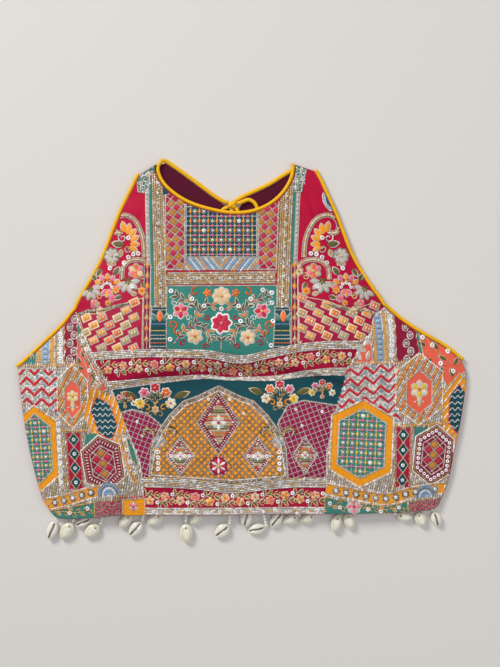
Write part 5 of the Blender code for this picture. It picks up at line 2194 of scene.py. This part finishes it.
def oval_strip(outline, line):
    """Silver ovals, stepped from side to side on wine red."""
    fill(outline, WINE)
    couch(outline, ROSE, 1, fine_cords, closed=True)
    for number, spot in enumerate(evenly(line, 8.5)):
        spot = spot + ((-1) ** number * 2.2, 0)
        couch(disc(*spot, OVAL[0] / 2, 14, OVAL[1] / OVAL[0]), SILVERS, 1.5, closed=True)
        flower(*spot, OVAL[0] * 0.38, SILVER, SKY)


def roundel_strip(points, width, pitch):
    line = evenly(smooth_curve(points), 3)
    ribbon(line, width, MARIGOLD)
    for offset in (-0.5, 0.5):
        couch(beside(line, offset * width), SILVERS, 2)
        couch(beside(line, offset * width * 0.72), GOLD, 0.9, fine_cords)
    spots = evenly(line, pitch)[1:-1]
    cords.copies(BALL, spots, 0, (6.4, 6.8, 1.3), DULL_SILVER, 0.2)
    for spot in spots:
        couch(disc(*spot, 3.3, 12), [SILVER, GREY], 1.2, closed=True)
    rings(spots, 3.4, lift=0.9)


def striped_column(start, end, width, thread):
    """A column of short floss rows, with a pale cord on one side."""
    line = straight(start, end)
    ribbon(line, width, thread)
    dashes = [PALE_SILVER, GREY] if thread == SKY else [ORANGE, GOLD]
    row(line, STITCH, 2.6, (1.1, width * 0.8, 1.2), dashes, fine_cords, 0.35, 90)
    couch(beside(line, width / 2), PALE_SILVER, 1.2)


def leaves(places, length, thread=OLIVE):
    """Small leaves at these places; a place is x, y and a turn."""
    for x, y, turn in places:
        leaf(x, y, length, turn, thread, SILVER, 0.42)


def bar(*points):
    """A gold cord that parts two rows of patterns."""
    couch(straight(*points), [GOLD, MARIGOLD], 2.6)


print("patterns for the sides")

# %% Shapes for the sides
def striped_hexagon(x, y, half_width, half_height):
    """Marigold dashes on silver round a coral hexagon with a flower in it."""
    outline = hexagon(x, y, half_width, half_height, 0.5, 0)
    zone(outline, DULL_SILVER, PALE_SILVER, 2.6)
    hatch(outline, 7, 62, [MARIGOLD, ORANGE, MARIGOLD], 3, silk, 2.2)
    for shift in (2.6, 4.5):
        hatch(outline, 7, 62, [PALE_SILVER, SILVER, GOLD], 1.7, fine_cords, 2.4, shift=shift)
    heart = hexagon(x, y - half_height * 0.08, half_width * 0.55, half_height * 0.62, 0.5, 0)
    zone(heart, CORAL, SILVER, 2)
    flower(x, y, half_width * 0.36, [CREAM, LEMON], ORANGE, 6, 0, SILVER)
    leaf(x, y - half_height * 0.12, half_height * 0.34, 180, CREAM, GOLD)
    row([(x - 4, y - half_height * 0.34), (x + 4, y - half_height * 0.34)], STITCH, 2,
        (1.4, 4, 1.3), [PALE_SILVER, GREY], cords)


def gridded_hexagon(x, y, half_width, half_height, lean, rim, cell):
    """A wide marigold rim round a darned grid of pink and yellow on teal."""
    outline = hexagon(x, y, half_width, half_height, 0.62, lean)
    zone(outline, MARIGOLD, SILVERS, 3, 90)
    inner = hexagon(x, y, half_width - rim, half_height - rim * 1.25, 0.62, lean)
    darned(inner, (cell, cell), lean=lean)


def netted_hexagon(x, y, half_width, half_height, lean, sequins=False):
    """Wine red with a picket of dashes round a lattice of gold tiles."""
    outline = hexagon(x, y, half_width, half_height, 0.55, lean)
    zone(outline, WINE, PALE_SILVER, 2.2)
    couch(hexagon(x, y, half_width * 0.9, half_height * 0.92, 0.55, lean), KHAKI, 1.3, closed=True)
    picket = hexagon(x, y, half_width * 0.76, half_height * 0.8, 0.55, lean)
    if sequins:
        rings(evenly(np.vstack([picket, picket[:1]]), 4.6)[:-1], 3.8)
    else:
        row(picket, STITCH, 2.9, (1.4, half_width * 0.24, 1.5), PALE_SILVER, cords, 0.4, 90, closed=True)
    inner = hexagon(x, y, half_width * 0.58, half_height * 0.64, 0.55, lean)
    tiled(inner, (11, 10.4), [OCHRE, FLOSS_RED], SILVER, 1.3, 0.8, WINE, lean)


def petrol_hexagon(x, y, half_width, half_height, lean):
    """Marigold and silver stripes round petrol with silver zigzags."""
    outline = hexagon(x, y, half_width, half_height, 0.5, lean)
    zone(outline, MARIGOLD, [GOLD, KHAKI], 1.8)
    hatch(outline, 5.2, 55 + lean, [SILVER, PALE_SILVER], 2, cords, 2.2)
    inner = hexagon(x, y, half_width * 0.58, half_height * 0.68, 0.55, lean)
    zone(inner, PETROL, CORAL, 1.4)
    low, high = inner.min(axis=0), inner.max(axis=0)
    for level in np.arange(low[1] - 6, high[1] + 6, 6):
        path = zigzag((low[0] - 2, level), (high[0] + 2, level + 1), 6, 1.5)
        for stretch in kept(path, inner):
            couch(stretch, PALE_SILVER, 1.1, fine_cords, 1.6)


def leafy_stem(points):
    """A thin stem with a leaf on each side in turn."""
    line = evenly(smooth_curve(points), 4.2)
    couch(line, PEACH, 1, fine_cords)
    turns = turns_of(line)
    for number, spot in enumerate(line[:-1]):
        side = 1 - 2 * (number % 2)
        thread = [OLIVE, OCHRE, OLIVE][number % 3]
        leaf(*spot, 5.6, turns[number] + LEAF_TURN * side, thread, PEACH, 0.42)


FAN_COLOURS = [SKY, GREY, PALE_SILVER, SKY]


def fan(x, y, radius, turn):
    """Half rings inside each other."""
    for number, thread in enumerate(FAN_COLOURS):
        reach = radius * (1 - number / (len(FAN_COLOURS) + 0.6))
        angle = np.radians(np.linspace(0, 180, 16) + turn)
        line = np.column_stack([x + reach * np.cos(angle), y + reach * 1.1 * np.sin(angle)])
        if number == 0:
            fill(line, SKY)
        couch(line, thread, 1.9)


print("shapes for the sides")

# %% [markdown]
# ## The left side
# From the armhole down: striped columns, a column of sequins and ovals; chevrons; hexagons in three
# sizes; then the roundels and the teal hem with leaves. The coral strip follows the seam.

# %% Left side
metal_ground([(-228, -14), (-205, 8), (-180, 32), (-168, 42), (-157, 15), (-148, -6), (-131, -36),
              (-101, -112), (-96, -170), (-205, -175)])
for x, width, thread in ((-203.5, 5, GOLD), (-197, 8, SKY), (-190, 5, GOLD)):
    striped_column((x, 20), (x + 1, -13), width, thread)
fill([(-222, -4), (-207, 9), (-206.5, -13), (-224, -14)], TEAL)
for x, y, turn in ((-212, -3, 50), (-216, -10, 80), (-209, -9, 20)):
    leaf(x, y, 6.5, turn, ORANGE if x == -216 else OLIVE)
sequin_column([(-182, 27), (-180.5, -12)], 8)
oval_strip([(-177.5, 31), (-167.5, 43), (-164.5, 24), (-164, -10), (-175.5, -12)],
           [(-169.5, 32), (-169, -8)])
fill([(-164, 28), (-159.5, 19), (-163.5, 15)], TEAL)
couch(straight((-226, -15), (-160, -14)), [GOLD, MARIGOLD], 2.4)
couch(straight((-226, -18), (-160, -17)), SILVER, 2)
chevrons([(-228, -19), (-180, -19), (-181, -62), (-197, -58), (-222, -52)])
coral = [(-163, 16), (-157.5, 10), (-149.5, -7), (-139, -28), (-133, -38), (-145, -43), (-153, -50),
         (-155, -35), (-160.5, -21), (-163.5, -8)]
zone(coral, CORAL, [SILVER, KHAKI], 2.4, 80)
for offset, thread in ((3.4, PALE_SILVER), (5.4, KHAKI)):
    couch(beside(straight((-157, 14), (-149, -6), (-137, -30)), -offset), [thread, SILVER], 2)
leaves([(-161, 4, -70), (-157, -6, 20), (-152, -13, -40), (-157, -18, 60), (-150, -25, -50),
        (-149, -34, -20), (-155, -30, 40), (-145, -29, 30), (-160, -12, 20), (-146, -38, 60)], 6.5)
rings([(-143, -27), (-154, 2), (-151, -19), (-158, 10)], 4.4)
couch(smooth_curve([(-160, 12), (-158, -2), (-154, -16), (-151, -30), (-149, -42)]), SILVER, 1.2,
      fine_cords)
leaves([(-147, -12, 150), (-142, -22, 170), (-139, -32, 140), (-153, -40, 100), (-158, -26, 10)], 6,
       KHAKI)
flower(-145.5, -33, 3.6, [SILVER, PEACH], ORANGE, 6, 0, PALE_SILVER)
striped_hexagon(-168.5, -45, 15.5, 32)
petrol_hexagon(-137, -67, 17.5, 33, 20)
gridded_hexagon(-205.5, -98, 22, 44, 4, 7, 8.6)
sequin_column([(-183.5, -66), (-180, -138)], 6, 6.4, 4.2)
bar((-179, -79), (-150, -79.5))
zigzag_strip([(-168, -81), (-165, -138)], 16)
fill([(-156, -82), (-143, -82), (-156, -100)], SEA)
netted_hexagon(-138, -112, 20, 29, 10)
zone([(-117, -84), (-111.5, -88), (-106, -100), (-102.5, -116), (-109.5, -108)],
     SEA, SILVER, 1.4)
seam_cord = evenly(smooth_curve([(-119.5, -82), (-114, -105), (-104, -131)]), 3)
for offset, thread in ((0, [MARIGOLD, GOLD]), (2.4, MARIGOLD), (3.8, SILVER), (-3.4, SILVER)):
    couch(beside(seam_cord, -offset), thread, 2.6)
rings([(-117, -88), (-114.5, -98), (-111, -110), (-107, -121)], 4.2)
roundel_strip([(-206, -155.5), (-180, -150), (-150, -141), (-122, -137)], 11.5, 9.6)
fan(-132, -143, 11, 8)
zone([(-206, -163), (-178, -157.5), (-147, -150.5), (-147, -172), (-204, -174)], SEA, GOLD, 1.8)
zone([(-146.5, -150), (-119, -148), (-119, -170), (-146.5, -171)], GREY, KHAKI, 1.5)
hatch([(-144, -151), (-121, -149), (-121, -166), (-144, -168)], 4, (40, 140),
      [FLOSS_RED, PINK], 1.6, silk)
zone([(-118.5, -148), (-97, -146), (-96, -168), (-118, -169)], MARIGOLD, SILVER, 1.8)
flower(-108, -155, 5, [SILVER, PINK], ROSE, 6, 0, None)
couch(straight((-126, -146), (-97, -145)), SCARLET, 2)
leafy_stem([(-190, -162), (-180, -160.5), (-165, -161.5), (-150, -158)])
rings([(-190, -166), (-172, -162), (-154, -157)], 4)
print("left side")

# %% [markdown]
# ## The right side
# The same patterns in other sizes. This side panel is wider, so its hexagons are too, and the chevrons
# reach further in under the midriff's edge.

# %% Right side
metal_ground([(119, 5), (128, 18), (131.5, 34), (144, 44), (160, 42), (200, 10), (229, -8), (222, -100),
              (206, -165), (84, -168), (85, -100), (103, -27), (109, -11)])
striped_column((131.5, 28), (134, -11), 4.5, GOLD)
striped_column((135.5, 36), (138.5, -11), 7.5, SKY)
striped_column((142, 39), (143.5, -11), 4, GOLD)
zone([(111, -11), (120, 3), (127, 16), (130, -11)], CORAL, SILVER, 1.6)
for x, y, turn in ((118, -9, 30), (124, -9, -10), (123, -1, 50), (125, 6, 10), (117, -3, 10)):
    leaf(x, y, 9, turn, [SILVER, OLIVE][turn % 20 == 0], PALE_SILVER, 0.4)
sequin_column([(148.5, 40), (149, -9)], 7.5)
oval_strip([(153.5, 36), (158, 38), (173, 26), (177.5, -8), (154.5, -10)],
           [(165.5, 32), (166.5, -8)])
fill([(173, 28), (176, 25), (181.5, -8), (178.5, -8)], TEAL)
zone([(176, 27), (200, 10), (226, -8), (226, -20), (206, -36), (198, -22),
      (182, -8)], CORAL, [SILVER, PEACH], 2.4)
leaves([(184, 6, 70), (190, -8, 110), (197, 2, 40), (205, -9, 60), (201, -24, 10), (213, -14, -30),
        (185, -14, 150), (212, -26, 20), (219, -8, 40)], 9)
rings([(181, 14), (191, 6), (199, -12), (212, -20), (207, 0)], 5)
couch(smooth_curve([(183, 16), (193, 2), (203, -6), (212, -12), (220, -12)]), GOLD, 1.2, fine_cords)
couch(straight((104, -12), (160, -11)), [GOLD, MARIGOLD], 2.2)
chevrons([(104, -14), (154, -13), (158, -30), (158, -76), (140, -60), (120, -50), (95, -72), (97, -50),
          (103, -27)], 15.5, 3.6, 10.2, 7)
striped_hexagon(177, -38, 24, 36)
petrol_hexagon(217, -58, 16, 36, -4)
gridded_hexagon(119.5, -92, 31, 44, -3, 7.5, 9.2)
zigzag_strip([(161.5, -76), (160, -136)], 16)
bar((153, -75), (204, -72))
fill([(172, -76), (188, -75), (172, -98)], SEA)
netted_hexagon(192, -104, 20, 31, -6, True)
roundel_strip([(84, -137), (115, -143), (145, -147.5), (172, -141), (204, -137)], 11.5, 10)
fan(184, -146, 10.5, 4)
zone([(83, -145.5), (115, -151), (145, -155), (166, -150), (166, -164), (83, -166)],
     SEA, GOLD, 1.8)
flower(112, -155, 7, [PINK, SILVER], ROSE, 8, 0, SILVER)
leafy_stem([(86, -155), (95, -153.5), (104, -156.5)])
leafy_stem([(120, -157), (130, -155.5), (142, -158.5), (152, -156.5), (163, -157)])
rings([(88, -152), (98, -156), (126, -158), (139, -160), (157, -156)], 4)
zone([(167, -150), (200, -147), (201, -162), (167, -163)], GREY, KHAKI, 1.5)
hatch([(169, -152), (198, -149), (199, -160), (169, -161)], 3.6, (40, 140),
      [FLOSS_RED, PINK], 1.5, silk)
print("right side")

# %% [markdown]
# ## Sewing it all down
# Every layer now becomes one mesh that lies on the cloth.

# %% Build the layers
for layer in (fields, silk, padded_work, cords, fine_cords, spangles):
    layer.build()

# %% [markdown]
# ## Floor and light
# A pale plain floor and three soft lamps. The key lamp comes low from the upper left, so that the folds,
# the piping and the stitches all cast a little shade, and the others fill.

# %% Studio
def lamp(name, place, size, power, warmth=(1.0, 1.0, 1.0)):
    """A soft square lamp that shines at the middle of the surface."""
    light = bpy.data.lights.new(name, "AREA")
    light.size = size
    light.energy = power
    light.color = warmth
    obj = bpy.data.objects.new(name, light)
    obj.location = place
    obj.rotation_euler = (-Vector(place)).to_track_quat("-Z", "Y").to_euler()
    bpy.context.scene.collection.objects.link(obj)


def floor_finish():
    shader = Shader("pale_floor", Roughness=0.95, Specular_IOR_Level=0.1)
    shader.set(Base_Color=(*srgb(226, 222, 216), 1.0))
    return shader.material


bm = bmesh.new()
bmesh.ops.create_grid(bm, x_segments=1, y_segments=1, size=3.0)
floor = bpy.data.objects.new("floor", mesh_of("floor", bm))
floor.data.materials.append(floor_finish())
bpy.context.scene.collection.objects.link(floor)
lamp("key", (-1.65, 1.87, 1.65), 0.88, 60.0, (1.0, 0.98, 0.95))
lamp("fill", (0.9, -0.3, 1.1), 1.2, 3.5)
lamp("above", (0.0, 0.1, 1.7), 1.0, 3.8)
world = bpy.data.worlds.new("studio")
world.use_nodes = True
sky = world.node_tree.nodes["Background"].inputs
sky["Color"].default_value = (0.9, 0.93, 1.0, 1.0)
sky["Strength"].default_value = 0.35
bpy.context.scene.world = world
print("floor and lamps in place")
